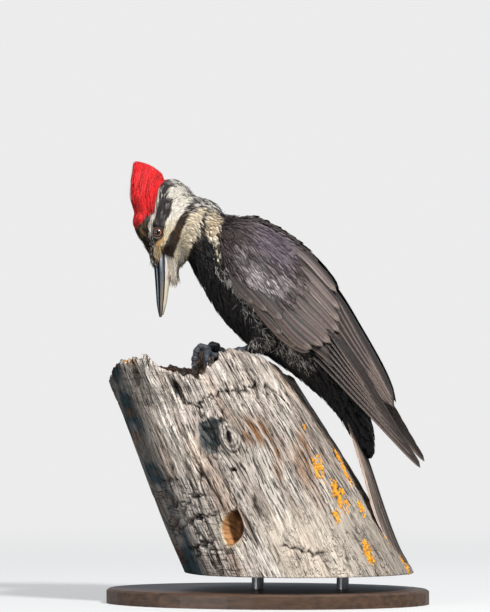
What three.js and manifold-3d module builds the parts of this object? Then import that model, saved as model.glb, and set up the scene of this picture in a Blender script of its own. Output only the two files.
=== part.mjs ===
// Woodpecker clinging to the broken top of a snag, life size, on a plain stand.
// Millimetres, +Z up. The bird faces -X and its midline is the plane y = 0.
import * as THREE from 'three';
import { mergeVertices } from 'three/addons/utils/BufferGeometryUtils.js';
import Module from 'manifold-3d';

const wasm = await Module();
wasm.setup();

// Driving dimensions.
const gap = 0.45;                 // clearance left between neighbouring nodes
const tolerance = 0.15;           // how far a face may move when facets are thinned
const bodySides = 18;             // facets round the trunk of the bird
const eyeRadius = 5.2;
const eyeCentre = { x: -88.4, y: 14.3, z: 303.5 };
const billTip = { x: -88.4, z: 233.8 };
const billRootZ = 283;
const tailPairs = 4;
const secondaryCount = 4;
const primaryCount = 4;
const farWing = { lift: 3, slide: [-2, 0, 2.5] };   // how the right wing's fold differs

const perchFoot = 25.4;           // where the snag is sawn off
const perchLean = -0.505;         // x per unit of height along the snag's axis
const perchAxisX = 38.1;          // where that axis would meet z = 0
const perchRadius = { foot: 83.8, taper: 0.1 };
const rimLevel = 184;
const baseSize = { length: 266, width: 178, height: 12 };
const rodRadius = 5;
const rodPlaces = [-8, 62];
const rodSink = { base: 6, perch: 26 };

// Small helpers.
const vec = (x, y, z) => new THREE.Vector3(x, y, z);
const lerp = THREE.MathUtils.lerp;
const bump = (d, width) => Math.exp(-((d / width) ** 2));

// A curve through a short list of numbers, read at t from 0 to 1.
function track(values) {
  const curve = new THREE.CatmullRomCurve3(values.map((v, i) => vec(i, v, 0)), false, 'catmullrom', 0.5);
  return (t) => curve.getPoint(t).y;
}

// Closed body from rings of equal count, each end closed on its centroid.
function skinRings(rings) {
  const count = rings[0].length;
  const points = rings.flat();
  const faces = [];
  for (let i = 0; i < rings.length - 1; i += 1) {
    for (let j = 0; j < count; j += 1) {
      const k = (j + 1) % count;
      const a = i * count + j;
      const b = i * count + k;
      faces.push(a, b, b + count, a, b + count, a + count);
    }
  }
  for (const [ring, flip] of [[0, true], [rings.length - 1, false]]) {
    const middle = rings[ring].reduce((sum, p) => sum.add(p), vec(0, 0, 0)).divideScalar(count);
    const centre = points.push(middle) - 1;
    for (let j = 0; j < count; j += 1) {
      const a = ring * count + j;
      const b = ring * count + (j + 1) % count;
      faces.push(...(flip ? [b, a, centre] : [a, b, centre]));
    }
  }
  const geometry = new THREE.BufferGeometry().setFromPoints(points);
  geometry.setIndex(faces);
  return faceOutward(geometry);
}

function signedVolume(geometry) {
  const { position } = geometry.attributes;
  const index = geometry.index.array;
  const at = (n) => vec().fromBufferAttribute(position, index[n]);
  let total = 0;
  for (let n = 0; n < index.length; n += 3) {
    total += at(n).dot(at(n + 1).cross(at(n + 2)));
  }
  return total / 6;
}

function faceOutward(geometry) {
  if (signedVolume(geometry) < 0) {
    const index = geometry.index.array;
    for (let n = 0; n < index.length; n += 3) {
      [index[n], index[n + 1]] = [index[n + 1], index[n]];
    }
  }
  return geometry;
}

function toSolid(geometry) {
  const bare = geometry.clone();
  bare.deleteAttribute('normal');
  bare.deleteAttribute('uv');
  const welded = mergeVertices(bare, 1e-3);
  return new wasm.Manifold(new wasm.Mesh({
    numProp: 3,
    vertProperties: new Float32Array(welded.attributes.position.array),
    triVerts: new Uint32Array(welded.index.array),
  }));
}

function toGeometry(solid) {
  const mesh = solid.getMesh();
  const geometry = new THREE.BufferGeometry();
  geometry.setAttribute('position', new THREE.BufferAttribute(mesh.vertProperties, 3));
  geometry.setIndex(new THREE.BufferAttribute(mesh.triVerts, 1));
  return geometry;
}

function unite(solids) {
  return solids.reduce((all, next) => all.add(next));
}

// Only the largest body is kept, so a cut never leaves crumbs behind.
function largest(solid) {
  const pieces = solid.decompose();
  return pieces.reduce((best, next) => (next.volume() > best.volume() ? next : best));
}

function without(solid, ...others) {
  return largest(others.reduce((left, other) => left.subtract(other), solid));
}

// A round-sectioned body along a spine in the plane of symmetry. Each station is
// [x, z, depth on the back side, depth on the belly side, half width].
function bodyLoft(stations, steps, { grow = 0, y = 0, sides = bodySides, square = 1 } = {}) {
  const tracks = [0, 1, 2, 3, 4].map((column) => track(stations.map((row) => row[column])));
  const side = track(stations.map((row) => row[5] ?? y));
  const rings = [];
  for (let i = 0; i <= steps; i += 1) {
    const t = i / steps;
    const [x, z, back, belly, wide] = tracks.map((read) => read(t));
    const before = Math.max(0, t - 0.01);
    const after = Math.min(1, t + 0.01);
    const along = vec(tracks[0](after) - tracks[0](before), 0, tracks[1](after) - tracks[1](before)).normalize();
    const dorsal = vec(-along.z, 0, along.x);
    const reach = (i === 0 ? -grow : 0) + (i === steps ? grow : 0);
    const ring = [];
    for (let j = 0; j < sides; j += 1) {
      const turn = (j / sides) * Math.PI * 2;
      const up = Math.sin(turn);
      const out = Math.sign(Math.cos(turn)) * Math.abs(Math.cos(turn)) ** square;
      const depth = (up > 0 ? back : belly) + grow;
      ring.push(vec(x, side(t) + out * (wide + grow), z)
        .addScaledVector(dorsal, up * depth)
        .addScaledVector(along, reach));
    }
    rings.push(ring);
  }
  return skinRings(rings);
}

// A tapering limb through points [x, y, z, radius].
function limb(points, { steps = 6, sides = 7, grow = 0 } = {}) {
  const curve = new THREE.CatmullRomCurve3(points.map(([x, y, z]) => vec(x, y, z)));
  const radius = track(points.map((p) => p[3]));
  const frames = curve.computeFrenetFrames(steps, false);
  const rings = [];
  for (let i = 0; i <= steps; i += 1) {
    const t = i / steps;
    const centre = curve.getPointAt(t);
    const reach = (i === 0 ? -grow : 0) + (i === steps ? grow : 0);
    centre.addScaledVector(frames.tangents[i], reach);
    const ring = [];
    for (let j = 0; j < sides; j += 1) {
      const turn = (j / sides) * Math.PI * 2;
      ring.push(centre.clone()
        .addScaledVector(frames.normals[i], Math.cos(turn) * (radius(t) + grow))
        .addScaledVector(frames.binormals[i], Math.sin(turn) * (radius(t) + grow)));
    }
    rings.push(ring);
  }
  return skinRings(rings);
}

// A plate with two faces over a grid of (u, v). "grow" swells it all round and
// "clear" thickens its outer face only.
function plate(point, thickness, uSteps, vSteps, { grow = 0, clear = 0 } = {}) {
  const rings = [];
  const edge = (step, steps) => (step === steps ? grow : 0) - (step === 0 ? grow : 0);
  for (let i = 0; i <= uSteps; i += 1) {
    const u = i / uSteps;
    const outer = [];
    const inner = [];
    for (let j = 0; j <= vSteps; j += 1) {
      const v = j / vSteps;
      const du = point(Math.min(1, u + 0.01), v).sub(point(Math.max(0, u - 0.01), v)).normalize();
      const dv = point(u, Math.min(1, v + 0.01)).sub(point(u, Math.max(0, v - 0.01))).normalize();
      const normal = du.clone().cross(dv).normalize();
      const half = thickness(u, v) / 2 + grow;
      const here = point(u, v)
        .addScaledVector(du, edge(i, uSteps))
        .addScaledVector(dv, edge(j, vSteps));
      outer.push(here.clone().addScaledVector(normal, half));
      inner.unshift(here.clone().addScaledVector(normal, -half - clear));
    }
    rings.push([...outer, ...inner]);
  }
  return skinRings(rings);
}

// One long feather: from root to tip, bowed, with a rounded or pointed end.
// "face" is the way its flat side looks; "round" sets how blunt the tip is.
function featherBlade({ root, tip, bow, face, width, thick, round = 0.5, grow = 0 }) {
  const reach = tip.clone().sub(root);
  const length = reach.length();
  const along = reach.clone().normalize();
  const flat = face.clone().addScaledVector(along, -face.dot(along)).normalize();
  const across = flat.clone().cross(along);
  const outline = (u) => Math.min(1, 0.55 + u * 1.2) * Math.max(0.06, 1 - u ** (2 + 8 * round)) ** 0.5;
  const point = (u, v) => root.clone()
    .addScaledVector(along, u * length)
    .addScaledVector(flat, Math.sin(u * Math.PI) * bow - (2 * v - 1) ** 2 * width * 0.08)
    .addScaledVector(across, (2 * v - 1) * outline(u) * width / 2);
  return plate(point, (u) => lerp(thick, 0.8, u), 4, 2, { grow });
}

const mirrored = (solid) => solid.mirror([0, 1, 0]);

// Trunk of the bird: head, neck, torso and rump as one, then parted.
const headStations = [
  [-83.4, 264, 4.5, 3.2, 4.6],
  [-84.4, 272, 8.2, 8.4, 9.2],
  [-83.2, 283, 13.6, 15.5, 13.2],
  [-82.0, 293, 18.4, 19, 16.2],
  [-81.0, 304, 20.8, 22, 18.3],
  [-80.2, 316, 22.2, 23, 19.4],
  [-79.6, 327, 20.8, 21, 18.6],
  [-80.6, 338, 15.2, 15.5, 14.8],
  [-82.0, 347, 7.5, 7, 7.5],
];
const neckStations = [
  [-80, 316, 19, 19, 15.5],
  [-69, 312.5, 25, 26, 18.8],
  [-56.5, 306.5, 25.6, 25.5, 22.2],
  [-43, 297.5, 26.5, 30, 27.5],
  [-28, 284, 35, 36, 31.5],
];
const torsoStations = [
  [-52, 304, 18, 20, 21],
  [-39, 292, 33.5, 32, 30],
  [-14, 270, 43.5, 42, 35],
  [10, 244.5, 43.5, 43, 36],
  [30, 222, 37, 35.5, 33.5],
  [45, 200, 26, 26.5, 28],
  [57, 179, 18.5, 17, 21],
  [67, 160, 15, 11, 16],
  [75.5, 141, 12.5, 8, 13],
  [82, 126, 7, 5, 11],
  [85, 119, 2.5, 2.5, 7],
];

const headLoft = (grow = 0) => toSolid(bodyLoft(headStations, 10, { grow }));
const neckLoft = (grow = 0) => toSolid(bodyLoft(neckStations, 5, { grow }));
const torsoLoft = (grow = 0) => toSolid(bodyLoft(torsoStations, 13, { grow }));

const wholeBody = unite([
  headLoft(),
  neckLoft(),
  torsoLoft(),
]);

// Each parting plane: a point it passes through and the way to the tail.
const partings = {
  neck: { at: vec(-66, 0, 311), toTail: vec(0.93, 0, -0.2) },
  torso: { at: vec(-43, 0, 299), toTail: vec(0.86, 0, -0.5) },
  rump: { at: vec(42, 0, 206), toTail: vec(0.6, 0, -0.8) },
};

function partOff(solid, { at, toTail }) {
  const normal = toTail.clone().normalize();
  const offset = normal.dot(at);
  const behind = solid.trimByPlane(normal.toArray(), offset + gap / 2);
  const ahead = solid.trimByPlane(normal.clone().negate().toArray(), -(offset - gap / 2));
  return [largest(ahead), largest(behind)];
}

// Crest: long feathers swept back over the crown.
const crestStations = [
  [-98.5, 296, 1.6, 4, 5],
  [-100.6, 303, 7.6, 8, 12],
  [-101.4, 314, 10.4, 12, 15.4],
  [-100.6, 327, 11.6, 14, 15.6],
  [-99.4, 339, 12.4, 14.5, 13],
  [-100.8, 350, 9.8, 10, 8.6],
  [-105.8, 360.5, 3, 3, 2.4],
];
const crestWhole = toSolid(bodyLoft(crestStations, 10, { sides: 14 }));
const headGrown = unite([
  headLoft(gap),
  neckLoft(gap),
]);
const crestSolid = without(crestWhole, headGrown);

// Bill.
// Sections are [z, culmen x, cutting-edge x, half width]; the keel line bounds the lower half.
const billStations = [
  [billRootZ, -94.4, -84.6, 6.6, -78.4],
  [272, -93.4, -84.4, 6.9, -78.8],
  [262, -92.6, -84.6, 5.7, -80.2],
  [250, -91.9, -85.4, 4.3, -82.3],
  [240, -91.1, -86.6, 2.9, -84.7],
  [billTip.z, -89.0, -87.8, 1.3, -87.2],
];

function mandible(upper, grow = 0) {
  const rings = billStations.map(([z, culmen, edge, half, keel], i) => {
    const seam = edge + (upper ? -gap / 2 : gap / 2);
    const far = upper ? culmen : keel;
    const sign = upper ? -1 : 1;
    const last = i === billStations.length - 1;
    const level = (last ? z + (upper ? 0 : 2.4) : z) - (last ? grow : 0) + (i === 0 ? grow : 0);
    const profile = [[0, 1], [0.16, 0.98], [0.5, 0.78], [0.86, 0.34], [1, 0.1]];
    const side = profile.map(([rise, wide]) => [
      lerp(seam, far, rise) + sign * grow * (rise > 0.1 ? 1 : -1),
      half * wide + grow,
    ]);
    return [
      ...side.map(([x, y]) => vec(x, y, level)),
      ...side.slice().reverse().map(([x, y]) => vec(x, -y, level)),
    ];
  });
  return toSolid(skinRings(rings));
}

const billSocket = unite([mandible(true, gap), mandible(false, gap)]);
const upperSolid = mandible(true);
const lowerSolid = mandible(false);

// Eyes.
function eyeBall(side, grow = 0) {
  const ball = new THREE.SphereGeometry(eyeRadius + grow, 12, 8);
  ball.translate(eyeCentre.x, side * eyeCentre.y, eyeCentre.z);
  return toSolid(ball);
}

// Wings.
// Stations from the shoulder to the tip of the inner wing, for the left wing:
// upper edge [x, y, z], lower edge [x, y, z], bulge outward between them.
const wingStations = [
  [[-27, -12, 315], [-34, -30, 286], 8],
  [[-7, -14, 313.5], [-25, -36.5, 262], 12.5],
  [[18, -12, 300], [-4, -39, 240], 15.5],
  [[39, -7, 282], [22, -39, 215], 16],
  [[60, -4, 254], [46, -34.5, 203], 13],
  [[77.5, -3, 220], [68, -27, 186.5], 10],
  [[93, -3, 189], [87, -20, 171.5], 6],
  [[104, -3.5, 161.5], [102, -13, 157], 2],
];
const wingTracks = [0, 1].map((edge) => [0, 1, 2].map((axis) => track(wingStations.map((row) => row[edge][axis]))));
const wingBulge = track(wingStations.map((row) => row[2]));

function wingPoint(u, v) {
  const upper = vec(...wingTracks[0].map((read) => read(u)));
  const lower = vec(...wingTracks[1].map((read) => read(u)));
  const here = upper.lerp(lower, v);
  here.y -= Math.sin(Math.PI * v) ** 0.62 * wingBulge(u) * (1 - 0.3 * v);
  return here;
}

// Which way the wing's outer face looks at (u, v).
function wingNormal(u, v) {
  const along = wingPoint(u + 0.02, v).sub(wingPoint(u - 0.02, v));
  const across = wingPoint(u, v + 0.02).sub(wingPoint(u, v - 0.02));
  const normal = along.cross(across).normalize();
  return normal.y > 0 ? normal.negate() : normal;
}

const bodyGrown = unite([
  neckLoft(gap),
  torsoLoft(gap),
]);

// The feather tract from the shoulder to the tips of the greater coverts.
const covertEnd = 0.62;
function covertPlate(grow = 0, clear = 0) {
  const point = (u, v) => {
    const end = covertEnd - 0.1 * (2 * v - 1) ** 2;
    const here = wingPoint(u * end, v);
    here.y += 1.6;
    return here;
  };
  return toSolid(plate(point, (u) => lerp(7, 4, u), 8, 6, { grow, clear }));
}

// Inner flight feathers fan from the wrist along the wing's upper edge to its point.
function secondaryFan(grow = 0) {
  const blades = [];
  for (let i = 0; i < secondaryCount; i += 1) {
    const f = i / (secondaryCount - 1);
    const v = lerp(0.12, 0.8, f);
    const root = wingPoint(0.44 - 0.02 * f, v);
    const tip = wingPoint(lerp(1, 0.88, f ** 1.3), lerp(0.3, 0.72, f));
    const face = wingNormal(0.72, lerp(0.25, 0.75, f));
    root.y += 1.2;
    blades.push(toSolid(featherBlade({
      root, tip, bow: 3, face, width: lerp(21, 18, f), thick: 1.7, round: 0.55, grow,
    })));
  }
  return unite(blades);
}

// Outer flight feathers lie folded in a narrow pack under the inner ones.
const primaryRoot = { x: 42, y: -34, z: 202 };
const primaryTip = { x: 127, y: -13.5, z: 112 };
function primaryFan(grow = 0) {
  const blades = [];
  for (let i = 0; i < primaryCount; i += 1) {
    const f = i / (primaryCount - 1);
    const back = i * 11;
    const along = vec(primaryTip.x - primaryRoot.x, 0, primaryTip.z - primaryRoot.z).normalize();
    const root = vec(primaryRoot.x + 4 * f, primaryRoot.y + 2.4 * f, primaryRoot.z + 9 * f);
    const tip = vec(primaryTip.x - along.x * back + 3.4 * f, primaryTip.y, primaryTip.z - along.z * back + 4 * f);
    blades.push(toSolid(featherBlade({
      root, tip, bow: 4.2 - f, face: vec(0.3, -0.85, 0.3), width: 13, thick: 1.8, round: 0.25, grow,
    })));
  }
  return unite(blades);
}

const covertSolid = covertPlate();
const secondarySolid = without(secondaryFan(), covertPlate(gap), bodyGrown);
const primarySolid = without(primaryFan(), covertPlate(gap), secondaryFan(gap), bodyGrown);

// The right wing is the left one mirrored and turned a little about its shoulder.
const liftAngle = THREE.MathUtils.radToDeg(Math.atan2(farWing.lift, 200));
function turnedWing(solid) {
  const atShoulder = mirrored(solid).translate([20, 0, -290]);
  return atShoulder.rotate([0, -liftAngle, 0]).translate([-20, 0, 290]).translate(farWing.slide);
}

// The wings' coverts are let into the body's sides before it is parted.
const wingBed = covertPlate(gap, 9);
const cutBody = without(wholeBody, covertPlate(gap), turnedWing(covertPlate(gap)), wingBed, turnedWing(wingBed));
const [headBlock, afterHead] = partOff(cutBody, partings.neck);
const [neckSolid, afterNeck] = partOff(afterHead, partings.torso);
const [torsoSolid, rumpSolid] = partOff(afterNeck, partings.rump);
const headSolid = without(headBlock, billSocket, eyeBall(-1, gap), eyeBall(1, gap));

// Tail.
// The middle line of the tail, from its root to the tip of the longest feathers.
const tailLine = new THREE.CatmullRomCurve3([
  vec(64, 0, 172), vec(73, 0, 145), vec(84.5, 0, 113), vec(95.5, 0, 80), vec(106, 0, 52), vec(115, 0, 34),
]);

function tailFeather(pair, side, grow = 0) {
  const reach = [1, 0.955, 0.88, 0.78][pair];
  const spread = [0.2, 0.75, 1.28, 1.8][pair];
  const width = [16, 17, 16, 14][pair];
  const point = (u, v) => {
    const here = tailLine.getPointAt(u * reach);
    const heading = tailLine.getTangentAt(u * reach);
    const under = vec(heading.z, 0, -heading.x);
    const flare = 3 + 7.6 * Math.min(1, u * 1.6);
    const middle = spread * flare;
    const taper = Math.max(0.1, 1 - u ** 9 * 0.95) * Math.min(1, 0.6 + u);
    const reachOut = middle + (2 * v - 1) * (width / 2) * taper;
    here.addScaledVector(under, spread * 1.5 + Math.max(0, reachOut) ** 2 * 0.006);
    here.y = side * Math.max(gap / 2, reachOut);
    return here;
  };
  return toSolid(plate(point, (u) => lerp(2, 1.1, u), 5, 2, { grow }));
}

function tailHalf(side) {
  const blades = [];
  for (let pair = 0; pair < tailPairs; pair += 1) {
    blades.push(tailFeather(pair, side));
  }
  return without(unite(blades), torsoLoft(gap));
}

// Legs.
// All of the left leg, each list a run of [x, y, z, radius] from the body outward.
const thighPoints = [[4, -20, 226, 15], [-3, -27, 214, 10.5], [-9, -31, 208.6, 6], [-12.5, -33, 206.6, 3.6]];
const tarsusPoints = [[-13.5, -33.5, 206.6, 3.6], [-21, -34, 206.4, 3.2], [-31, -34.4, 203.6, 2.5], [-41, -35, 202.4, 3.3]];
const toePoints = [
  [[-38.5, -32.5, 199, 2.3], [-35, -27, 198.4, 2.3], [-32, -21.5, 195.6, 1.9]],
  [[-43, -32.5, 203.8, 2.8], [-46.6, -27, 208.2, 2.7], [-51, -23.5, 205.6, 2.5], [-53.2, -22, 198.6, 2.2]],
  [[-43.4, -35.6, 204, 3.1], [-46.6, -37, 209.6, 3], [-51.4, -38.6, 209, 2.7], [-54.2, -39.6, 201.6, 2.5],
    [-54.8, -40, 195, 2.2]],
  [[-41.6, -38, 203, 3], [-43, -45, 205.6, 2.7], [-42.6, -53, 203.6, 2.5], [-41.4, -59, 198.2, 2.2]],
];
const clawPoints = [
  [[-31.4, -20.2, 194.8, 1.6], [-29.6, -17.4, 192, 1.1], [-30, -15.8, 188.8, 0.4]],
  [[-53.6, -21.6, 197.2, 1.8], [-54.2, -21, 191.4, 1.3], [-51.6, -20.6, 186.4, 0.4]],
  [[-55, -40.2, 193.6, 1.9], [-55, -40.6, 187.6, 1.4], [-51.6, -41, 182.6, 0.4]],
  [[-41.2, -59.8, 196.8, 1.8], [-40.4, -61.6, 191.2, 1.3], [-40.8, -60, 186.2, 0.4]],
];

function flip(points, side, shift = [0, 0, 0]) {
  return points.map(([x, y, z, r]) => [x + shift[0], -side * y + shift[1], z + shift[2], r]);
}

function legSolids(side) {
  const shift = side > 0 ? [-2, -1, 1] : [0, 0, 0];
  const place = (points) => flip(points, side, shift);
  const thigh = limb(place(thighPoints), { steps: 5, sides: 10 });
  const tarsus = toSolid(limb(place(tarsusPoints), { steps: 5, sides: 8 }));
  const tarsusGrown = toSolid(limb(place(tarsusPoints), { steps: 5, sides: 8, grow: gap }));
  const digits = [];
  const digitsGrown = [];
  const claws = [];
  for (let n = 0; n < 4; n += 1) {
    const steps = toePoints[n].length + 1;
    const raw = toSolid(limb(place(toePoints[n]), { steps, sides: 6 }));
    const clear = [tarsusGrown, ...digitsGrown];
    digits.push(without(raw, ...clear));
    digitsGrown.push(toSolid(limb(place(toePoints[n]), { steps, sides: 6, grow: gap })));
    claws.push(toSolid(limb(place(clawPoints[n]), { steps: 4, sides: 5 })));
  }
  const trimmedClaws = claws.map((claw) => without(claw, ...digitsGrown));
  const thighSolid = without(toSolid(thigh), tarsusGrown, bodyGrown);
  return { thigh: thighSolid, tarsus, digits, claws: trimmedClaws };
}

const legs = { left: legSolids(-1), right: legSolids(1) };

// Snag the bird clings to.
// Height of its broken rim by bearing; 0 degrees is +X and -90 degrees is the near side.
const rimPeaks = [
  { bearing: -127, rise: 20, width: 15 },
  { bearing: -153, rise: 9, width: 11 },
  { bearing: -104, rise: 5, width: 9 },
  { bearing: -62, rise: 26, width: 17 },
  { bearing: -32, rise: 17, width: 19 },
  { bearing: 55, rise: 15, width: 26 },
  { bearing: 118, rise: 9, width: 30 },
];
const saddles = [
  { x: -47, y: -36, rise: 22, width: 11 },
  { x: -48, y: 35, rise: 22, width: 11 },
  { x: -24, y: -36, rise: 13, width: 16 },
  { x: -22, y: 36, rise: 13, width: 16 },
  { x: -108, y: 0, rise: 9, width: 30 },
  { x: 10, y: 0, rise: -9, width: 26 },
];

function bearingGap(a, b) {
  return ((a - b + 540) % 360) - 180;
}

function rimHeight(bearing) {
  return rimPeaks.reduce((z, p) => z + p.rise * bump(bearingGap(bearing, p.bearing), p.width), rimLevel);
}

function topHeight(x, y) {
  return saddles.reduce((z, s) => z + s.rise * bump(Math.hypot(x - s.x, y - s.y), s.width), rimLevel - 6);
}

function perchRadiusAt(z, turn) {
  const flutes = 1 + 0.012 * Math.sin(3 * turn + z / 40) + 0.008 * Math.sin(7 * turn - z / 25);
  return (perchRadius.foot - perchRadius.taper * (z - perchFoot)) * flutes;
}

function perchSolidRaw() {
  const around = 34;
  const levels = 6;
  const slope = Math.hypot(1, perchLean);
  const edge = (z, turn) => {
    const r = perchRadiusAt(z, turn);
    return vec(perchAxisX + perchLean * z + Math.cos(turn) * r * slope, Math.sin(turn) * r, z);
  };
  const rings = [];
  for (let i = 0; i <= levels; i += 1) {
    rings.push(Array.from({ length: around }, (_, j) => {
      const turn = (j / around) * Math.PI * 2;
      const top = rimHeight(THREE.MathUtils.radToDeg(turn) - (turn > Math.PI ? 360 : 0));
      return edge(lerp(perchFoot, top, (i / levels) ** 0.9), turn);
    }));
  }
  const rim = rings[levels];
  const centre = vec(perchAxisX + perchLean * rimLevel, 0, 0);
  for (const [inset, sag] of [[0.9, 0.3], [0.68, 1], [0.36, 1]]) {
    rings.push(rim.map((p) => {
      const x = lerp(centre.x, p.x, inset);
      const y = lerp(centre.y, p.y, inset);
      return vec(x, y, lerp(p.z, topHeight(x, y), sag));
    }));
  }
  return toSolid(skinRings(rings));
}

function rodSolid(x, grow = 0) {
  const bottom = baseSize.height - rodSink.base;
  const height = perchFoot + rodSink.perch - bottom + 2 * grow;
  const rod = new THREE.CylinderGeometry(rodRadius + grow, rodRadius + grow, height, 18);
  rod.rotateX(Math.PI / 2);
  rod.translate(x, 0, bottom + height / 2 - grow);
  return toSolid(rod);
}

// Limbs and body are grown a little and cut out of the wood, so each only rests on it.
function perchCutters() {
  const cutters = [
    torsoLoft(gap + 0.4),
    ...rodPlaces.map((x) => rodSolid(x, gap)),
  ];
  for (const side of [-1, 1]) {
    const shift = side > 0 ? [-2, -1, 1] : [0, 0, 0];
    cutters.push(toSolid(limb(flip(thighPoints, side, shift), { steps: 5, sides: 10, grow: gap })));
    cutters.push(toSolid(limb(flip(tarsusPoints, side, shift), { steps: 5, sides: 8, grow: gap })));
    for (let n = 0; n < 4; n += 1) {
      const steps = toePoints[n].length + 1;
      cutters.push(toSolid(limb(flip(toePoints[n], side, shift), { steps, sides: 6, grow: gap })));
      cutters.push(toSolid(limb(flip(clawPoints[n], side, shift), { steps: 4, sides: 5, grow: gap })));
    }
    for (let pair = 0; pair < tailPairs; pair += 1) {
      cutters.push(tailFeather(pair, side, gap));
    }
  }
  return cutters;
}

const perchSolid = without(perchSolidRaw(), ...perchCutters());

// Stand.
function baseSolid() {
  const { length, width, height } = baseSize;
  const chamfer = 1.6;
  const profile = [[0, 0], [1, 0], [1, height - chamfer], [1 - (2 * chamfer) / width, height], [0, height]];
  const disc = new THREE.LatheGeometry(profile.map(([r, z]) => new THREE.Vector2(r, z)), 40);
  disc.rotateX(Math.PI / 2);
  disc.scale(length / 2, width / 2, 1);
  return unite([toSolid(faceOutward(mergeVertices(stripped(disc), 1e-3)))]);
}

function stripped(geometry) {
  geometry.deleteAttribute('normal');
  geometry.deleteAttribute('uv');
  return geometry;
}

const standSolid = without(baseSolid(), ...rodPlaces.map((x) => rodSolid(x, gap)));

// Scene.
const finishes = {
  plumage: { color: 0x35302f, roughness: 0.8, metalness: 0 },
  crest: { color: 0xd8392b, roughness: 0.75, metalness: 0 },
  flight: { color: 0x4a4240, roughness: 0.65, metalness: 0 },
  bill: { color: 0x575452, roughness: 0.4, metalness: 0 },
  eye: { color: 0xb59a80, roughness: 0.08, metalness: 0 },
  scale: { color: 0x46464a, roughness: 0.6, metalness: 0 },
  claw: { color: 0x26252a, roughness: 0.35, metalness: 0 },
  wood: { color: 0xa8968a, roughness: 0.9, metalness: 0 },
  base: { color: 0x3b2f28, roughness: 0.5, metalness: 0 },
  steel: { color: 0xb4b6b8, roughness: 0.3, metalness: 1 },
};

const bird = new THREE.Group();
bird.name = 'woodpecker';

function addNode(name, solid, finish) {
  const light = largest(solid.simplify(tolerance));
  const mesh = new THREE.Mesh(toGeometry(light), new THREE.MeshStandardMaterial(finishes[finish]));
  mesh.name = name;
  bird.add(mesh);
}

addNode('head', headSolid, 'plumage');
addNode('crest', crestSolid, 'crest');
addNode('neck', neckSolid, 'plumage');
addNode('torso', torsoSolid, 'plumage');
addNode('rump', rumpSolid, 'plumage');
addNode('upper_mandible', upperSolid, 'bill');
addNode('lower_mandible', lowerSolid, 'bill');
addNode('eye_left', eyeBall(-1), 'eye');
addNode('eye_right', eyeBall(1), 'eye');
addNode('wing_left_coverts', covertSolid, 'flight');
addNode('wing_right_coverts', turnedWing(covertSolid), 'flight');
for (const [name, solid] of [['secondaries', secondarySolid], ['primaries', primarySolid]]) {
  addNode(`wing_left_${name}`, solid, 'flight');
  addNode(`wing_right_${name}`, without(turnedWing(solid), bodyGrown), 'flight');
}
addNode('tail_left', tailHalf(-1), 'flight');
addNode('tail_right', tailHalf(1), 'flight');
for (const [side, leg] of Object.entries(legs)) {
  addNode(`thigh_${side}`, leg.thigh, 'plumage');
  addNode(`tarsus_${side}`, leg.tarsus, 'scale');
  leg.digits.forEach((digit, n) => addNode(`toe_${n + 1}_${side}`, digit, 'scale'));
  leg.claws.forEach((claw, n) => addNode(`claw_${n + 1}_${side}`, claw, 'claw'));
}
addNode('perch', perchSolid, 'wood');
addNode('stand_base', standSolid, 'base');
rodPlaces.forEach((x, n) => addNode(`stand_rod_${n + 1}`, rodSolid(x), 'steel'));

export default bird;
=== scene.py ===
import math

import bmesh
import bpy
import numpy as np
from mathutils.bvhtree import BVHTree
from mathutils.kdtree import KDTree
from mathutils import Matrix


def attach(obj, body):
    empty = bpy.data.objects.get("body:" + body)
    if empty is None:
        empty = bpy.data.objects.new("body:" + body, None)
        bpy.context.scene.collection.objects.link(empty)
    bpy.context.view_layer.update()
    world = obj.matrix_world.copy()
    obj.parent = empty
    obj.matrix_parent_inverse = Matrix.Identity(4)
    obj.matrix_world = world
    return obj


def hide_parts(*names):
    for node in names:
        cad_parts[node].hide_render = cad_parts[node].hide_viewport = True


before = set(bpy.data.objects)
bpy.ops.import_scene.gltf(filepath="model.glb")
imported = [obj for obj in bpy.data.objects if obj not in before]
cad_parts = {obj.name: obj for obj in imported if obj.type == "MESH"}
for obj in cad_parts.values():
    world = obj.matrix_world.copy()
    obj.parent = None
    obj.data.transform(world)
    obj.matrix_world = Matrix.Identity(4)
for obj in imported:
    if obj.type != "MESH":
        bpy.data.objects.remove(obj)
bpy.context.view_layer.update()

mm = 0.001


# Small tools for curves, noise and colours.

def linear(rgb):
    # a screen colour, 0 to 255, as the light it stands for
    c = np.asarray(rgb, float) / 255
    return np.where(c <= 0.04045, c / 12.92, ((c + 0.055) / 1.055) ** 2.4)


def unit(v):
    return v / np.maximum(np.linalg.norm(v, axis=-1, keepdims=True), 1e-12)


def ease(low, high, x):
    t = np.clip((np.asarray(x, float) - low) / (high - low), 0, 1)
    return t * t * (3 - 2 * t)


def hill(x, middle, width):
    return np.exp(-(((np.asarray(x, float) - middle) / width) ** 2))


def blend(a, b, w):
    w = np.asarray(w, float)[..., None]
    return a * (1 - w) + b * w


def paint(palette, base, *layers):
    # colours laid over one another, each by its own weight; a name stands for a colour of the palette
    def shade(tone):
        return linear(palette[tone]) if isinstance(tone, str) else tone

    colour = shade(base)
    for tone, weight in layers:
        colour = blend(colour, shade(tone), np.ravel(weight))
    return colour


def track(values, t):
    # a smooth line through evenly spaced values, read at t from 0 to 1
    values = np.asarray(values, float)
    last = len(values) - 1
    t = np.clip(np.asarray(t, float), 0, 1) * last
    i = np.minimum(t.astype(int), last - 1)
    f, first, end = t - i, i == 0, i == last - 1
    if values.ndim > 1:
        f, first, end = f[..., None], first[..., None], end[..., None]
    b = values[i]
    c = values[i + 1]
    a = np.where(first, 2 * b - c, values[np.maximum(i - 1, 0)])
    d = np.where(end, 2 * c - b, values[np.minimum(i + 2, last)])
    return 0.5 * (2 * b + (c - a) * f + (2 * a - 5 * b + 4 * c - d) * f ** 2
                  + (3 * b - 3 * c + d - a) * f ** 3)


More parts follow.
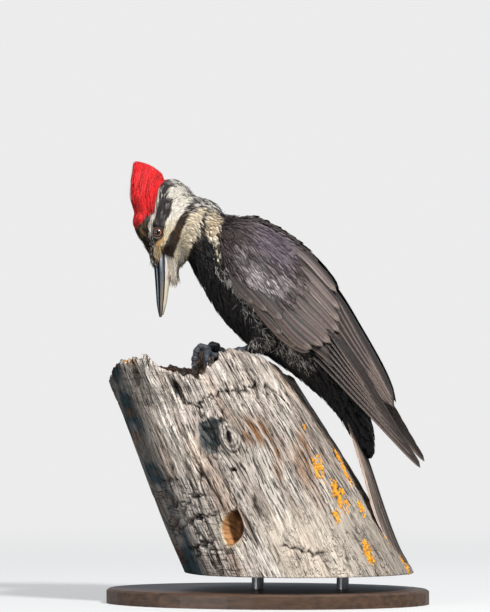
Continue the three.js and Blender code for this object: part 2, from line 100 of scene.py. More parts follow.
def softNoise(p, size, seed, stretch=(1, 1, 1)):
    # smooth noise from 0 to 1 whose features are about "size" millimetres across
    grid = np.random.default_rng(seed).random((32, 32, 32))
    q = np.asarray(p, float) * stretch / (size * mm)
    i = np.floor(q).astype(int)
    f = q - i
    f = f * f * (3 - 2 * f)
    total = 0
    for corner in np.ndindex(2, 2, 2):
        w = np.prod(np.where(corner, f, 1 - f), axis=-1)
        j = (i + corner) % 32
        total = total + w * grid[j[..., 0], j[..., 1], j[..., 2]]
    return total


# Meshes.

def addObject(name, data):
    thing = bpy.data.objects.new(name, data)
    bpy.context.scene.collection.objects.link(thing)
    return thing


def addLayer(mesh, name, kind, key, values):
    layer = mesh.attributes.new(name, kind, "POINT")
    layer.data.foreach_set(key, np.asarray(values, np.float32).ravel())


def setTint(mesh, tint):
    layer = mesh.color_attributes.new("tint", "FLOAT_COLOR", "POINT")
    layer.data.foreach_set("color", np.insert(np.asarray(tint, np.float32), 3, 1, axis=1).ravel())


def makePiece(name, points, quads, tris=(), material=None, tint=None, uv=None, vane=None):
    # a smooth mesh object from arrays, with colour, UV and vane coordinates per point
    tris = np.asarray(tris, int).reshape(-1, 3)
    corners = np.append(quads, tris).astype(np.int32)
    sizes = np.repeat([4, 3], [len(quads), len(tris)]).astype(np.int32)
    smooth = np.ones(len(sizes), bool)
    if vane is not None:
        # the flat under face of a feather spans both rims and is not smoothed into the upper one
        smooth[:len(quads)] = np.ptp(vane[quads, 0], axis=1) < 1.5
        smooth[len(quads):] = False
    mesh = bpy.data.meshes.new(name)
    mesh.vertices.add(len(points))
    mesh.loops.add(len(corners))
    mesh.polygons.add(len(sizes))
    mesh.vertices.foreach_set("co", np.asarray(points, np.float32).ravel())
    mesh.loops.foreach_set("vertex_index", corners)
    mesh.polygons.foreach_set("loop_start", (np.cumsum(sizes) - sizes).astype(np.int32))
    mesh.polygons.foreach_set("loop_total", sizes)
    mesh.polygons.foreach_set("use_smooth", smooth)
    mesh.update(calc_edges=True)
    piece = addObject(name, mesh)
    faceOut(mesh)
    if tint is not None:
        setTint(mesh, tint)
    if vane is not None:
        addLayer(mesh, "vane", "FLOAT_VECTOR", "vector", vane)
    if uv is not None:
        order = np.zeros(len(corners), np.int32)
        mesh.loops.foreach_get("vertex_index", order)
        layer = mesh.uv_layers.new(name="OFBake")
        layer.data.foreach_set("uv", np.asarray(uv, np.float32)[order].ravel())
    if material is not None:
        mesh.materials.append(material)
    return piece


def trianglesOf(mesh):
    # every point of a mesh, and the three corners of each triangle
    points = np.zeros(len(mesh.vertices) * 3, np.float32)
    mesh.vertices.foreach_get("co", points)
    mesh.calc_loop_triangles()
    corners = np.zeros(len(mesh.loop_triangles) * 3, np.int32)
    mesh.loop_triangles.foreach_get("vertices", corners)
    return points.reshape(-1, 3).astype(float), corners.reshape(-1, 3)


def faceOut(mesh):
    points, corners = trianglesOf(mesh)
    p = points[corners]
    p = p - p.mean((0, 1))
    if np.einsum("ij,ij->", p[:, 0], np.cross(p[:, 1], p[:, 2])) < 0:
        mesh.flip_normals()


def gridQuads(rows, columns, ringed=False, looped=False):
    # the faces over rows of points; "ringed" closes each row, "looped" joins the last row to the first
    i = np.arange(rows - (not looped))[:, None]
    j = np.arange(columns - (not ringed))[None]
    low = i * columns
    high = (i + 1) % rows * columns
    after = (j + 1) % columns
    return np.stack([low + j, low + after, high + after, high + j], -1).reshape(-1, 4)


def loft(rings):
    # a closed skin over rings of points, each end gathered to its middle
    rings = np.asarray(rings, float)
    count, around = rings.shape[:2]
    points = np.concatenate([rings.reshape(-1, 3), rings[0].mean(0)[None], rings[-1].mean(0)[None]])
    j = np.arange(around)
    k = (j + 1) % around
    last = (count - 1) * around
    low = np.stack([np.full(around, count * around), k, j], -1)
    high = np.stack([np.full(around, count * around + 1), last + j, last + k], -1)
    return points, gridQuads(count, around, True), np.concatenate([low, high])


def join(parts):
    # several (points, quads, tris, ...) sets as one, extras joined in step
    offsets = np.cumsum([0] + [len(part[0]) for part in parts])
    faces = [np.concatenate([part[n] + offset for part, offset in zip(parts, offsets)]) for n in (1, 2)]
    extras = [np.concatenate([part[n] for part in parts]) for n in range(3, len(parts[0]))]
    return (np.concatenate([part[0] for part in parts]), *faces, *extras)


def pathFrames(line):
    # two side vectors carried along a line without twisting
    tangent = unit(np.gradient(line, axis=0))
    side = np.zeros_like(line)
    start = np.cross(tangent[0], [0.0, 0.0, 1.0])
    if np.linalg.norm(start) < 0.1:
        start = np.cross(tangent[0], [0.0, 1.0, 0.0])
    side[0] = unit(start)
    for n in range(1, len(line)):
        side[n] = unit(side[n - 1] - tangent[n] * np.dot(side[n - 1], tangent[n]))
    return side, np.cross(tangent, side)


def turns(count):
    return np.linspace(0, 2 * np.pi, count + 1)[:-1]


def settle(piece, slot, *nodes):
    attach(piece, "root")
    if nodes:
        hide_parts(*nodes)
    return piece


# Shader tools: numbers that add up as Python expressions, and a board of nodes.

class Num:
    def __init__(self, board, socket):
        self.board = board
        self.socket = socket

    def op(self, kind, *terms):
        made = self.board.node("ShaderNodeMath", {"operation": kind}, dict(enumerate(terms)))
        return Num(self.board, made.outputs[0])

    def step(self, low, high):
        made = self.board.node("ShaderNodeMapRange", {"interpolation_type": "SMOOTHSTEP"},
                               {"Value": self, "From Min": low, "From Max": high})
        return Num(self.board, made.outputs["Result"])

    def near(self, low, high):
        # 1 where the number is nearer to nothing than "low", 0 where it is past "high"
        return 1.0 - self.op("ABSOLUTE", self).step(low, high)


for sign, kind in (("add", "ADD"), ("sub", "SUBTRACT"), ("mul", "MULTIPLY"), ("pow", "POWER")):
    setattr(Num, "__{}__".format(sign), lambda self, other, kind=kind: self.op(kind, self, other))
    setattr(Num, "__r{}__".format(sign), lambda self, other, kind=kind: self.op(kind, other, self))


class Board:
    def __init__(self, name, **fixed):
        self.material = bpy.data.materials.new(name)
        self.material.use_nodes = True
        self.tree = self.material.node_tree
        self.shader = self.tree.nodes["Principled BSDF"]
        for key, value in fixed.items():
            self.put(self.shader.inputs[key.replace("_", " ")], value)

    def put(self, socket, value):
        if isinstance(value, Num):
            self.tree.links.new(value.socket, socket)
        elif isinstance(value, bpy.types.NodeSocket):
            self.tree.links.new(value, socket)
        elif socket.type == "RGBA":
            socket.default_value = (*value, 1.0)
        else:
            socket.default_value = value

    def node(self, kind, settings=None, inputs=None):
        made = self.tree.nodes.new(kind)
        for key, value in (settings or {}).items():
            setattr(made, key, value)
        for key, value in (inputs or {}).items():
            self.put(made.inputs[key], value)
        return made

    def scaled(self, vector, scale):
        return self.node("ShaderNodeMapping", None, {"Vector": vector, "Scale": scale}).outputs["Vector"]

    def coords(self, scale=(1.0, 1.0, 1.0)):
        return self.scaled(self.node("ShaderNodeTexCoord").outputs["Object"], scale)

    def noise(self, vector, scale, detail=3.0, roughness=0.55):
        made = self.node("ShaderNodeTexNoise", None,
                         {"Vector": vector, "Scale": scale, "Detail": detail, "Roughness": roughness})
        return Num(self, made.outputs["Fac"])

    def attribute(self, name, output="Fac"):
        made = self.node("ShaderNodeAttribute", {"attribute_name": name}).outputs[output]
        return Num(self, made) if output == "Fac" else made

    def split(self, vector):
        made = self.node("ShaderNodeSeparateXYZ", None, {"Vector": vector})
        return [Num(self, made.outputs[n]) for n in range(3)]

    def mix(self, a, b, factor, kind="MIX"):
        made = self.node("ShaderNodeMix", {"data_type": "RGBA", "blend_type": kind}, {0: factor, 6: a, 7: b})
        return made.outputs[2]

    def grey(self, level):
        return self.node("ShaderNodeCombineXYZ", None, {0: level, 1: level, 2: level}).outputs[0]

    def gain(self, colour, factor):
        # the colour made lighter or darker by a number
        return self.mix(colour, self.grey(factor), 1.0, "MULTIPLY")

    def finish(self, colour, rough=None, height=None, depth=0.0002, strength=1.0):
        self.put(self.shader.inputs["Base Color"], colour)
        if rough is not None:
            self.put(self.shader.inputs["Roughness"], rough)
        if height is not None:
            made = self.node("ShaderNodeBump", None,
                             {"Height": height, "Distance": depth, "Strength": strength})
            self.put(self.shader.inputs["Normal"], made.outputs["Normal"])
        return self.material


def grainLook(name, size, detail, stretch, tone, rough, depth, strength=1.0, colour=None, **fixed):
    # one colour or the mesh's own tint, with a fine grain in its tone, its roughness and its relief
    board = Board(name, **fixed)
    grain = board.noise(board.coords(stretch), size, detail)
    colour = board.attribute("tint", "Color") if colour is None else linear(colour)
    return board.finish(board.gain(colour, tone[0] + tone[1] * grain), rough and rough[0] + rough[1] * grain,
                        grain, depth, strength)


# Camera, lights and floor.

stage = {
    "azimuth": 8.0, "target": (-0.0186, 0.0, 0.2434), "distance": 4.0, "frameHeight": 0.5016, "sensor": 36,
    # each lamp's turn from the camera, its rise, distance, size and level
    "lamps": {"key": (34, 46, 2.4, 0.3, 1.38), "fill": (-55, 25, 2.6, 1.6, 0.1),
              "back": (170, 45, 2.6, 1.4, 0.1), "bounce": (-40, 2, 2.6, 1.2, 0.34)},
    "sky": (0.25, 0.285, 0.33), "backdrop": 0.84, "floor": (236, 236, 234), "floorSize": 30.0,
    "floorTone": 0.44, "paperGlow": 0.42, "fade": (0.3, 1.5),
}


def makeLamp(name, turn, rise, distance, size, level):
    # a square lamp that lights a facing surface at "level" of its own colour
    a = math.radians(stage["azimuth"] + turn)
    e = math.radians(rise)
    aim = np.array([math.sin(a) * math.cos(e), -math.cos(a) * math.cos(e), math.sin(e)])
    data = bpy.data.lights.new(name, "AREA")
    data.size = size
    data.energy = level * math.pi ** 2 * distance ** 2
    lamp = addObject(name, data)
    lamp.location = np.array(stage["target"]) + aim * distance
    lamp.rotation_euler = (math.radians(90 - rise), 0, a)


def makeStage():
    scene = bpy.context.scene
    scene.view_settings.view_transform = "Standard"
    a = math.radians(stage["azimuth"])
    data = bpy.data.cameras.new("camera")
    data.sensor_width = stage["sensor"]
    data.lens = stage["sensor"] * stage["distance"] / stage["frameHeight"]
    scene.camera = addObject("camera", data)
    aim = np.array([math.sin(a), -math.cos(a), 0])
    scene.camera.location = np.array(stage["target"]) + aim * stage["distance"]
    scene.camera.rotation_euler = (math.pi / 2, 0, a)
    for name, lamp in stage["lamps"].items():
        makeLamp(name, *lamp)
    world = bpy.data.worlds.new("studio")
    world.use_nodes = True
    tree = world.node_tree
    path = tree.nodes.new("ShaderNodeLightPath")
    shade = tree.nodes.new("ShaderNodeMix")
    shade.data_type = "RGBA"
    shade.inputs[6].default_value = (*stage["sky"], 1)
    shade.inputs[7].default_value = (*[stage["backdrop"]] * 3, 1)
    tree.links.new(path.outputs["Is Camera Ray"], shade.inputs[0])
    tree.links.new(shade.outputs[2], tree.nodes["Background"].inputs["Color"])
    scene.world = world
    board = Board("floorPaper", Roughness=0.9, Specular_IOR_Level=0.0, Emission_Strength=1.0)
    cloud = board.noise(board.coords(), 3.0)
    x, y, _ = board.split(board.coords())
    far = ((x * x + y * y) ** 0.5).step(*stage["fade"])
    seen = Num(board, board.node("ShaderNodeLightPath").outputs["Is Camera Ray"])
    glow = seen * (stage["paperGlow"] + (stage["backdrop"] - stage["paperGlow"]) * far)
    board.put(board.shader.inputs["Emission Color"], board.grey(glow))
    paper = board.finish(board.gain(linear(stage["floor"]),
                                    (1.0 - far) * (stage["floorTone"] + 0.02 * cloud)))
    half = stage["floorSize"] / 2
    corners = [(-half, -half, 0), (half, -half, 0), (half, half, 0), (-half, half, 0)]
    makePiece("floor", corners, np.arange(4)[None], material=paper)
    print("stage set")


makeStage()


# The bird's plan: its middle line, its wings and where each marking lies.
# Lines are (x, z) in millimetres, from the bill towards the tail.

plan = {
    "spine": [(-86, 268), (-84.5, 284), (-81.5, 301), (-79, 316), (-73, 328), (-62, 322), (-48.5, 309),
              (-33, 291), (-12, 267), (12, 239), (36, 209), (56, 178), (74, 142), (86, 110)],
    "torso": [(-52, 304), (-33, 290), (-12, 267), (12, 239), (36, 209), (56, 178), (74, 142)],
    "torsoHigh": [20, 32, 43, 44, 35, 19, 12],
    "eye": (-88.4, 14.3, 303.5), "eyeRadius": 5.2, "gaze": (0.04, -0.998, 0.02),
}

wing = {
    # upper edge, lower edge and bulge of the left wing from the shoulder to the inner tip
    "upper": [(-27, -12, 315), (-7, -14, 313.5), (18, -12, 300), (39, -7, 282), (60, -4, 254),
              (77.5, -3, 220), (93, -3, 189), (104, -3.5, 161.5)],
    "lower": [(-34, -30, 286), (-25, -36.5, 262), (-4, -39, 240), (22, -39, 215), (46, -34.5, 203),
              (68, -27, 186.5), (87, -20, 171.5), (102, -13, 157)],
    "bulge": [8, 12.5, 15.5, 16, 13, 10, 6, 2],
    "covertEnd": 0.62, "farLift": 3.0, "farSlide": (-2.0, 0.0, 2.5), "hinge": (20.0, 0.0, 290.0),
}


def wingPoint(u, v):
    # a place on the outside of the left wing: u from shoulder to tip, v from back edge to front edge
    u, v = np.broadcast_arrays(np.asarray(u, float), np.asarray(v, float))
    here = blend(track(wing["upper"], u), track(wing["lower"], u), v)
    inside = np.clip(v, 1e-4, 1 - 1e-4)
    here[..., 1] -= np.sin(np.pi * inside) ** 0.62 * track(wing["bulge"], u) * (1 - 0.3 * v)
    return here * mm


def wingNormal(u, v):
    du = wingPoint(np.clip(u + 0.01, 0, 1), v) - wingPoint(np.clip(u - 0.01, 0, 1), v)
    dv = wingPoint(u, np.clip(v + 0.03, 0.05, 0.95)) - wingPoint(u, np.clip(v - 0.03, 0.05, 0.95) - 0.001)
    n = unit(np.cross(dv, du))
    return np.where(n[..., 1:2] > 0, -n, n)


def toFarWing(p, direction=False):
    # where a point of the left wing lies in the right wing
    hinge = 0 if direction else np.array(wing["hinge"]) * mm
    slide = 0 if direction else np.array(wing["farSlide"]) * mm
    x, y, z = np.moveaxis(np.array(p, float) * [1, -1, 1] - hinge, -1, 0)
    a = math.atan2(wing["farLift"], 200)
    x, z = x * math.cos(a) - z * math.sin(a), x * math.sin(a) + z * math.cos(a)
    return np.stack([x, y, z], -1) + hinge + slide


def nearestOn(line, p, steps=60):
    # for each point its place along a line of (x, z), the distance and the signed side
    t = np.linspace(0, 1, steps)
    dots = track(np.array(line) * mm, t)
    gap = p[:, None, [0, 2]] - dots[None]
    far = np.linalg.norm(gap, axis=2)
    near = far.argmin(1)
    heading = unit(np.gradient(dots, axis=0))[near]
    offset = gap[np.arange(len(p)), near]
    side = offset[:, 0] * -heading[:, 1] + offset[:, 1] * heading[:, 0]
    return t[near], far.min(1), side


gridU, gridV = np.meshgrid(np.linspace(0, wing["covertEnd"], 40), np.linspace(0, 1, 26), indexing="ij")
wingFinder = KDTree(gridU.size)
for index, dot in enumerate(wingPoint(gridU, gridV).reshape(-1, 3)):
    wingFinder.insert(dot, index)
wingFinder.balance()


def wingPlace(p):
    # for each point its u and v on the folded wing, and 1 where it surely lies there
    out = np.zeros((len(p), 3))
    for n, (x, y, z) in enumerate(p):
        if x > -0.036 and z > 0.19:
            index, distance = wingFinder.find((x, -abs(y), z))[1:]
            out[n] = gridU.flat[index], gridV.flat[index], distance < 0.0085
    out[:, 2] *= (out[:, 1] > 0.02) & (out[:, 1] < 0.99)
    return out.T


shades = {
    "crest": (244, 26, 30), "crestDark": (128, 6, 10), "forehead": (26, 17, 10), "olive": (118, 90, 50),
    "ear": (54, 46, 44), "white": (250, 240, 222), "cream": (238, 212, 170), "chin": (240, 220, 188),
    "buff": (214, 190, 156), "malar": (50, 36, 22), "rust": (96, 62, 38), "throat": (17, 14, 13),
    "breast": (26, 23, 22), "belly": (19, 17, 16), "flank": (62, 56, 54), "mantle": (60, 49, 46),
    "rump": (13, 11, 13), "coverts": (94, 81, 77), "pale": (178, 168, 167), "scapular": (128, 115, 113),
    "violet": (102, 91, 104), "speckle": (222, 214, 204), "nape": (40, 35, 36), "flight": (104, 88, 80),
    "flightEdge": (212, 193, 178), "primary": (102, 89, 84), "tail": (60, 49, 43),
    "tailPale": (206, 182, 166), "lid": (232, 224, 208), "ochre": (214, 168, 112),
}
ink = {name: linear(rgb) for name, rgb in shades.items()}

marks = {
    # on the side of the head: middle lines (x, z) and widths in millimetres
    "cheek": ([(-90.2, 280), (-88.8, 286), (-84.2, 297.5), (-78.6, 307.4), (-73.7, 318), (-71.0, 328),
               (-70.0, 334), (-69.0, 336)], [2.6, 5.4, 6.6, 7.6, 9.6, 14.5, 23.0, 18.0]),
    "malar": ([(-81.4, 283), (-77.4, 292), (-72.2, 304), (-68.4, 313), (-63.4, 320.5), (-56.0, 324)],
              [3.6, 7.0, 7.4, 6.2, 5.0, 3.4]),
    "throat": ([(-78.6, 256), (-76.6, 266), (-72.6, 279), (-67.8, 290), (-62.4, 301.6), (-58.6, 311),
                (-55.0, 321)], [6.0, 9.0, 11.5, 12.0, 12.5, 14.0, 10.0]),
    "line": ([(-50.6, 318), (-50.0, 308), (-51.6, 297), (-54.0, 289)], [2.0, 3.0, 3.4, 4.0]),
    "collar": ([(-43.5, 320), (-42.4, 313), (-41.6, 304), (-38.6, 293), (-35.6, 281)],
               [10.0, 13.5, 11.5, 5.5, 2.4]),
    "brow": ([(-95.4, 299), (-95.4, 305), (-94.2, 311), (-92.2, 317), (-90.2, 324), (-89.2, 331),
              (-88.0, 337)],
             [1.4, 2.2, 3.2, 4.6, 3.4, 2.2, 1.2]),
    "lore": ([(-94.4, 301), (-93.4, 293), (-91.6, 285), (-90.4, 278)], [3.6, 5.0, 5.0, 3.4]),
    "nostril": ([(-85.4, 301), (-86.6, 295), (-88.0, 289), (-89.0, 283)], [4.0, 6.6, 6.4, 5.0]),
}
# where the red crest begins: heights and the rear edge at each
crestRear = ([300, 308, 311, 315, 318.5, 324, 332, 342, 347, 352],
             [-112, -106.5, -101.5, -99, -96.5, -92.6, -90.0, -88.4, -84.5, -80])
# pale patches of the wing: x and its width, z and its width, strength
wingPatches = [(7, 12, 261, 7, 1), (-5, 6.5, 269, 9, 1), (-18, 4, 286, 8, 0.5)]


def inMark(p, name):
    # 1 on the middle of a mark, 0 at its edge, less than 0 outside it
    path, widths = marks[name]
    t, far, _ = nearestOn(path, p, 40)
    return 1 - far / (track(widths, t) * mm / 2)


def headColours(p, x, z, olive, grizzled):
    speckled = ease(0.6, 0.8, softNoise(p, 1.7, 10, [1, 1, 0.5])) * (0.15 + 0.4 * ease(318, 332, z))
    front = paint(shades, "forehead", ("olive", olive * 0.75))
    return paint(shades, "ear", ("speckle", speckled), (front, ease(-88, -92.5, x) * ease(322, 306, z)),
                 (grizzled, ease(336.5, 342, z + (x + 72) * 0.5) * ease(-90, -82, x)))


def wingColours(p, x, z, u, v):
    streak = softNoise(np.stack([u * 30, v * 62, 0 * u], 1) * mm, 1.7, 12)
    patch = np.max([hill(x, at, wide) * hill(z, level, high) * strong
                    for at, wide, level, high, strong in wingPatches], 0)
    worn = np.minimum(1, patch * 1.3) * ease(0.2, 0.55, softNoise(p, 2.6, 13, [1, 0.4, 1]))
    # the violet over the scapulars is a painted sheen
    return paint(shades, "scapular", (ink["mantle"] * 0.6, ease(0.44, 0.58, streak) * 0.9),
                 ("violet", ease(0.5, 0.25, v) * ease(0.08, 0.2, u) * ease(0.4, 0.3, u) * 0.55),
                 ("mantle", ease(0.2, 0.06, u) * 0.9), ("coverts", ease(0.3, 0.5, u) * 0.8), ("pale", worn),
                 ("throat", ease(0.86, 0.98, v) * 0.7))


def birdColour(p, ragged=1.0):
    # the colour of skin and coat at each point
    x, y, z = (p / mm).T
    y = np.abs(y)
    q = p + (softNoise(p, 3.2, 5)[:, None] - 0.5) * [2.4 * mm * ragged, 0, 1.6 * mm * ragged]
    t, _, side = nearestOn(plan["torso"], p)
    up = side / (track(plan["torsoHigh"], t) * mm)
    fleck = ease(0.4, 0.62, softNoise(p, 1.5, 6))
    hairs = ease(0.42, 0.6, softNoise(p, 1.3, 4, [0.45, 1, 1]))
    olive = ease(0.5, 0.72, softNoise(p, 1.6, 9, [1, 1, 0.4]))
    grizzled = paint(shades, "nape", (
        "speckle", ease(0.43, 0.5, softNoise(p, 2.0, 6)) * ease(0.15, 0.35, softNoise(p, 5, 8))))
    colour = paint(
        shades, "breast", ("belly", ease(0.3, 0.6, t) * ease(0.1, -0.3, up)),
        ("flank", ease(0.16, 0.3, t) * ease(0.8, 0.6, t) * hill(up, -0.22, 0.3) * (0.3 + 0.7 * fleck)),
        ("mantle", ease(0.0, 0.5, up)), ("rump", ease(0.68, 0.8, t)),
        (headColours(p, x, z, olive, grizzled), ease(-48, -56, x) * ease(262, 270, z)),
        (grizzled, ease(-62, -56, x) * ease(-37, -42, x) * ease(309, 318, z + (x + 48) * 0.3)),
        ("throat", ease(-70, -63, x) * ease(-30, -44, x) * ease(300, 288, z)),
        (paint(shades, "throat", ("white", hairs)),
         ease(-60, -56, x) * ease(-48, -52, x) * ease(296, 306, z) * ease(322, 312, z) * 0.8))
    cheek = paint(shades, "white", ("cream", ease(320, 300, z) * 0.9),
                  ("ear", ease(322, 332, z) * ease(0.66, 0.8, softNoise(p, 2, 3)) * 0.6))
    malar = paint(shades, "malar", ("rust", olive * ease(318, 300, z) * 0.8),
                  ("speckle", fleck * ease(314, 322, z) * 0.6))
    collar = paint(shades, "buff", ("white", hairs * 0.5), ("throat", (1 - hairs) * ease(303, 290, z) * 0.9))
    aside = ease(3, 7, y)
    # a mark's name, its colour, the softness of its edge and where it may lie
    for name, tone, soft, gate in [
            ("throat", "chin", 0.2, 1.0), ("cheek", cheek, 0.16, aside), ("malar", malar, 0.22, aside),
            ("brow", "lid", 0.4, aside * (0.55 + 0.45 * fleck)), ("line", "malar", 0.5, 0.85),
            ("collar", collar, 0.3, ease(7, 15, y))]:
        colour = paint(shades, colour, (tone, ease(-soft * 0.5, soft, inMark(q, name)) * gate))
    bars = ease(0.0, 0.5, np.sin(z * 2.7 + x * 1.5 + 2 * fleck))
    red = ease(0.8, -0.8, q[:, 0] / mm - np.interp(q[:, 2] / mm, *crestRear)) * ease(302, 306, z)
    u, v, onWing = wingPlace(p)
    return paint(shades, colour, ("speckle", bars * ease(0, 0.3, inMark(q, "lore")) * 0.85),
                 (paint(shades, "ochre", ("cream", olive)), ease(-0.1, 0.35, inMark(q, "nostril")) * aside),
                 ("crest", red), (wingColours(p, x, z, u, v), onWing))


# Feather shapes. A feather is a thin closed vane: its upper face is arched, its under face is flat.

vanes = {
    # rows, columns, how ragged the edge is, where it is widest, arch, bluntness, ridge of the shaft,
    # width of the outer web
    "tiny": (5, 3, 0.4, 0.5, 0.09, 1.5, 0.0, 1.0),
    "silky": (6, 3, 0.45, 0.35, 0.2, 1.3, 0.0, 1.0),
    "loose": (7, 3, 0.55, 0.4, 0.13, 1.4, 0.0, 1.0),
    "soft": (8, 3, 0.3, 0.6, 0.16, 2.0, 0.0, 1.0),
    "lock": (8, 3, 0.45, 0.3, 0.16, 1.1, 0.0, 1.0),
    "strand": (7, 3, 0.0, 0.2, 0.5, 1.0, 0.0, 1.0),
    "covert": (15, 9, 0.05, 0.7, 0.2, 3.0, 0.06, 0.85),
    "remex": (28, 9, 0.015, 0.6, 0.09, 6.0, 0.06, 0.6),
    "primary": (30, 9, 0.012, 0.45, 0.1, 4.4, 0.08, 0.42),
    "rectrix": (30, 9, 0.08, 0.45, 0.07, 3.0, 0.07, 0.8),
}
bakePatch = (0.0014, 0.003)


def vaneShape(kind, seed=1):
    # points as (across, along, height) in parts of half the width, and the faces over them
    rows, columns, ragged, widest, arch, blunt, ridge, narrow = vanes[kind]
    random = np.random.default_rng(seed)
    along = np.linspace(0, 1, rows) ** 0.9
    taper = 1 - np.maximum((along - widest) / (1 - widest), 0) ** blunt
    swell = np.where(along < widest, 0.34 + 0.66 * ease(0, widest, along), np.maximum(taper, 0) ** 0.5)
    swell = np.maximum(swell, 0.05)
    cut = np.ones((rows, 2))
    cut[1:-1:2] -= ragged * random.uniform(0.5, 1.3, (len(cut[1:-1:2]), 2))
    a = np.linspace(-1, 1, columns)
    outer = np.abs(a)[None] > 0.9
    across = np.where(a > 0, a * narrow, a)[None] * swell[:, None]
    across = across * np.where(outer, np.where(a < 0, cut[:, :1], cut[:, 1:]), 1.0)
    shaft = ridge * (np.abs(a)[None] < 0.01) * (1 - along[:, None] * 0.7)
    height = arch * (1 - a[None] ** 2) * swell[:, None] + shaft
    length = along[:, None] + np.where(outer, 0.35 * ragged / rows, 0.0)
    points = np.stack(np.broadcast_arrays(across, length, height), -1).reshape(-1, 3)
    tone = np.broadcast_to(a[None], across.shape).ravel()
    r = np.arange(rows - 1) * columns
    under = np.stack([r + columns - 1, r, r + columns, r + 2 * columns - 1], -1)
    fan = np.arange(1, columns - 1)
    start = np.stack([np.zeros_like(fan), fan + 1, fan], -1)
    end = np.stack([np.zeros_like(fan), fan, fan + 1], -1) + (rows - 1) * columns
    return points, tone, np.concatenate([gridQuads(rows, columns), under]), np.concatenate([start, end])


def layVanes(kind, spines, normals, widths, colours, seed=1, edges=None, edgeWeight=0.0, flip=False,
             lively=0.12, roots=None):
    # one vane over each spine; returns arrays for makePiece
    shape, tone, quads, tris = vaneShape(kind, seed)
    if flip:
        shape = shape * [-1, 1, 1]
        quads = quads[:, ::-1]
        tris = tris[:, ::-1]
    count, knots = spines.shape[:2]
    s = np.clip(shape[:, 1], 0, 1) * (knots - 1)
    i = np.minimum(s.astype(int), knots - 2)
    f = (s - i)[None, :, None]
    place, normal, forward = [line[:, i] * (1 - f) + line[:, i + 1] * f
                              for line in (spines, normals, unit(np.gradient(spines, axis=1)))]
    normal = unit(normal)
    side = unit(np.cross(forward, normal))
    half = (widths / 2)[:, None, None]
    points = place + side * shape[None, :, :1] * half + normal * shape[None, :, 2:] * half
    random = np.random.default_rng(seed + 100)
    chance = random.random(count)
    shade = 1 + lively * (random.random(count) - 0.5) * 2
    fall = 0.72 + 0.34 * ease(0.0, 0.7, shape[:, 1])
    tint = colours[:, None, :] * shade[:, None, None] * fall[None, :, None]
    if edges is not None:
        rim = np.maximum(ease(0.55, 1.0, np.abs(tone)), ease(0.86, 1.0, shape[:, 1])) * edgeWeight
        tint = blend(tint, edges[:, None, :], rim[None])
    vane = np.stack(np.broadcast_arrays(tone[None], shape[None, :, 1], chance[:, None]), -1)
    patch = np.stack([shape[:, 0], shape[:, 1] - 0.5], -1) * bakePatch
    uv = unwrap(spines[:, 0] if roots is None else roots)[:, None, :] + patch[None]
    step = (np.arange(count) * len(shape))[:, None, None]
    return (points.reshape(-1, 3), (quads[None] + step).reshape(-1, 4), (tris[None] + step).reshape(-1, 3),
            tint.reshape(-1, 3), uv.reshape(-1, 2), vane.reshape(-1, 3))


def downBody(p):
    # for each point how far down the body it lies, from bill to tail, and its height over the middle line
    t, _, side = nearestOn(plan["spine"], p, 160)
    return t, side


def unwrap(p):
    # the skin laid flat: how far down the body, and how far round from the belly
    t, side = downBody(p)
    turn = np.arctan2(p[:, 1], -side) / (2 * np.pi) + 0.5
    return np.stack([0.02 + 0.96 * turn, 0.02 + 0.96 * t], -1)


def featherPiece(name, sets, material):
    points, quads, tris, tint, uv, vane = join(sets)
    print(name, 2 * len(quads) + len(tris), "triangles")
    return makePiece(name, points, quads, tris, material, tint, uv, vane)


def featherLook(name, barbs, rough, sheen, hidden=None, shaftTone=-0.14, streaky=0.0):
    # barbs slant off the shaft; the inner web darkens from "hidden" inward, partly its own darker colour and
    # partly painted shadow of the feather over it, and the outer rim is pale
    board = Board(name, Sheen_Weight=sheen, Sheen_Roughness=0.4, Specular_IOR_Level=0.35)
    across, along, chance = board.split(board.attribute("vane", "Vector"))
    rise = across.op("ABSOLUTE", across)
    phase = (along * barbs - rise * barbs * 0.22 + chance * 9.0) * 6.283
    wave = phase.op("SINE", phase)
    patchy = board.noise(board.coords(), 420.0, 2.0)
    shaft = 1.0 - rise.step(0.03, 0.1)
    lines = across * 11.0 + chance * 40.0 + (patchy - 0.5) * 3.0
    lines = lines.op("SINE", lines)
    tone = 0.86 + 0.07 * wave + (patchy - 0.5) * 0.5 + shaft * shaftTone + lines * streaky
    tone = tone + 0.16 * along.step(0.3, 0.9)
    # painted shadow of the feather that overlaps the inner web, together with the web's own darker colour
    if hidden is not None:
        tone = tone * (0.2 + 0.8 * across.step(hidden - 0.3, hidden + 0.12)) + 0.6 * across.step(0.86, 0.94)
    return board.finish(board.gain(board.attribute("tint", "Color"), tone), rough + 0.1 * patchy,
                        wave * 0.5 + shaft, 0.00012, 0.6)


coatLook = featherLook("plumageVane", 16.0, 0.6, 0.03)
crestLook = featherLook("crestVane", 10.0, 0.45, 0.08)
covertLook = featherLook("covertVane", 40.0, 0.46, 0.06, -0.24, -0.3, 0.26)
flightLook = featherLook("flightVane", 70.0, 0.42, 0.06, 0.42, 0.5, 0.3)
primaryLook = featherLook("primaryVane", 70.0, 0.4, 0.06, 0.4, 0.9, 0.3)


# Skin: the parts of flesh joined, smoothed and drawn in by the depth of the coat.

flesh = {
    "nodes": ["head", "crest", "neck", "torso", "rump", "thigh_left", "thigh_right", "wing_left_coverts",
              "wing_right_coverts"],
    # remesh size, smoothing rounds and the first swelling that closes the cuts
    "voxel": 1.7, "smooth": 8, "swell": 0.4, "inset": 0.3, "settle": 4,
    # the coat's depth on each region, and the groove before the collar
    "body": 3.2, "crown": 1.6, "face": 0.7, "crest": 3.6, "wing": 2.2, "thigh": 2.4, "collarStep": 4.6,
    # the face narrows into the base of the bill: heights and half widths
    "muzzle": ([272, 277, 281, 285, 289, 293, 297], [4.5, 5.6, 6.8, 8.2, 10.4, 14.0, 20]),
}


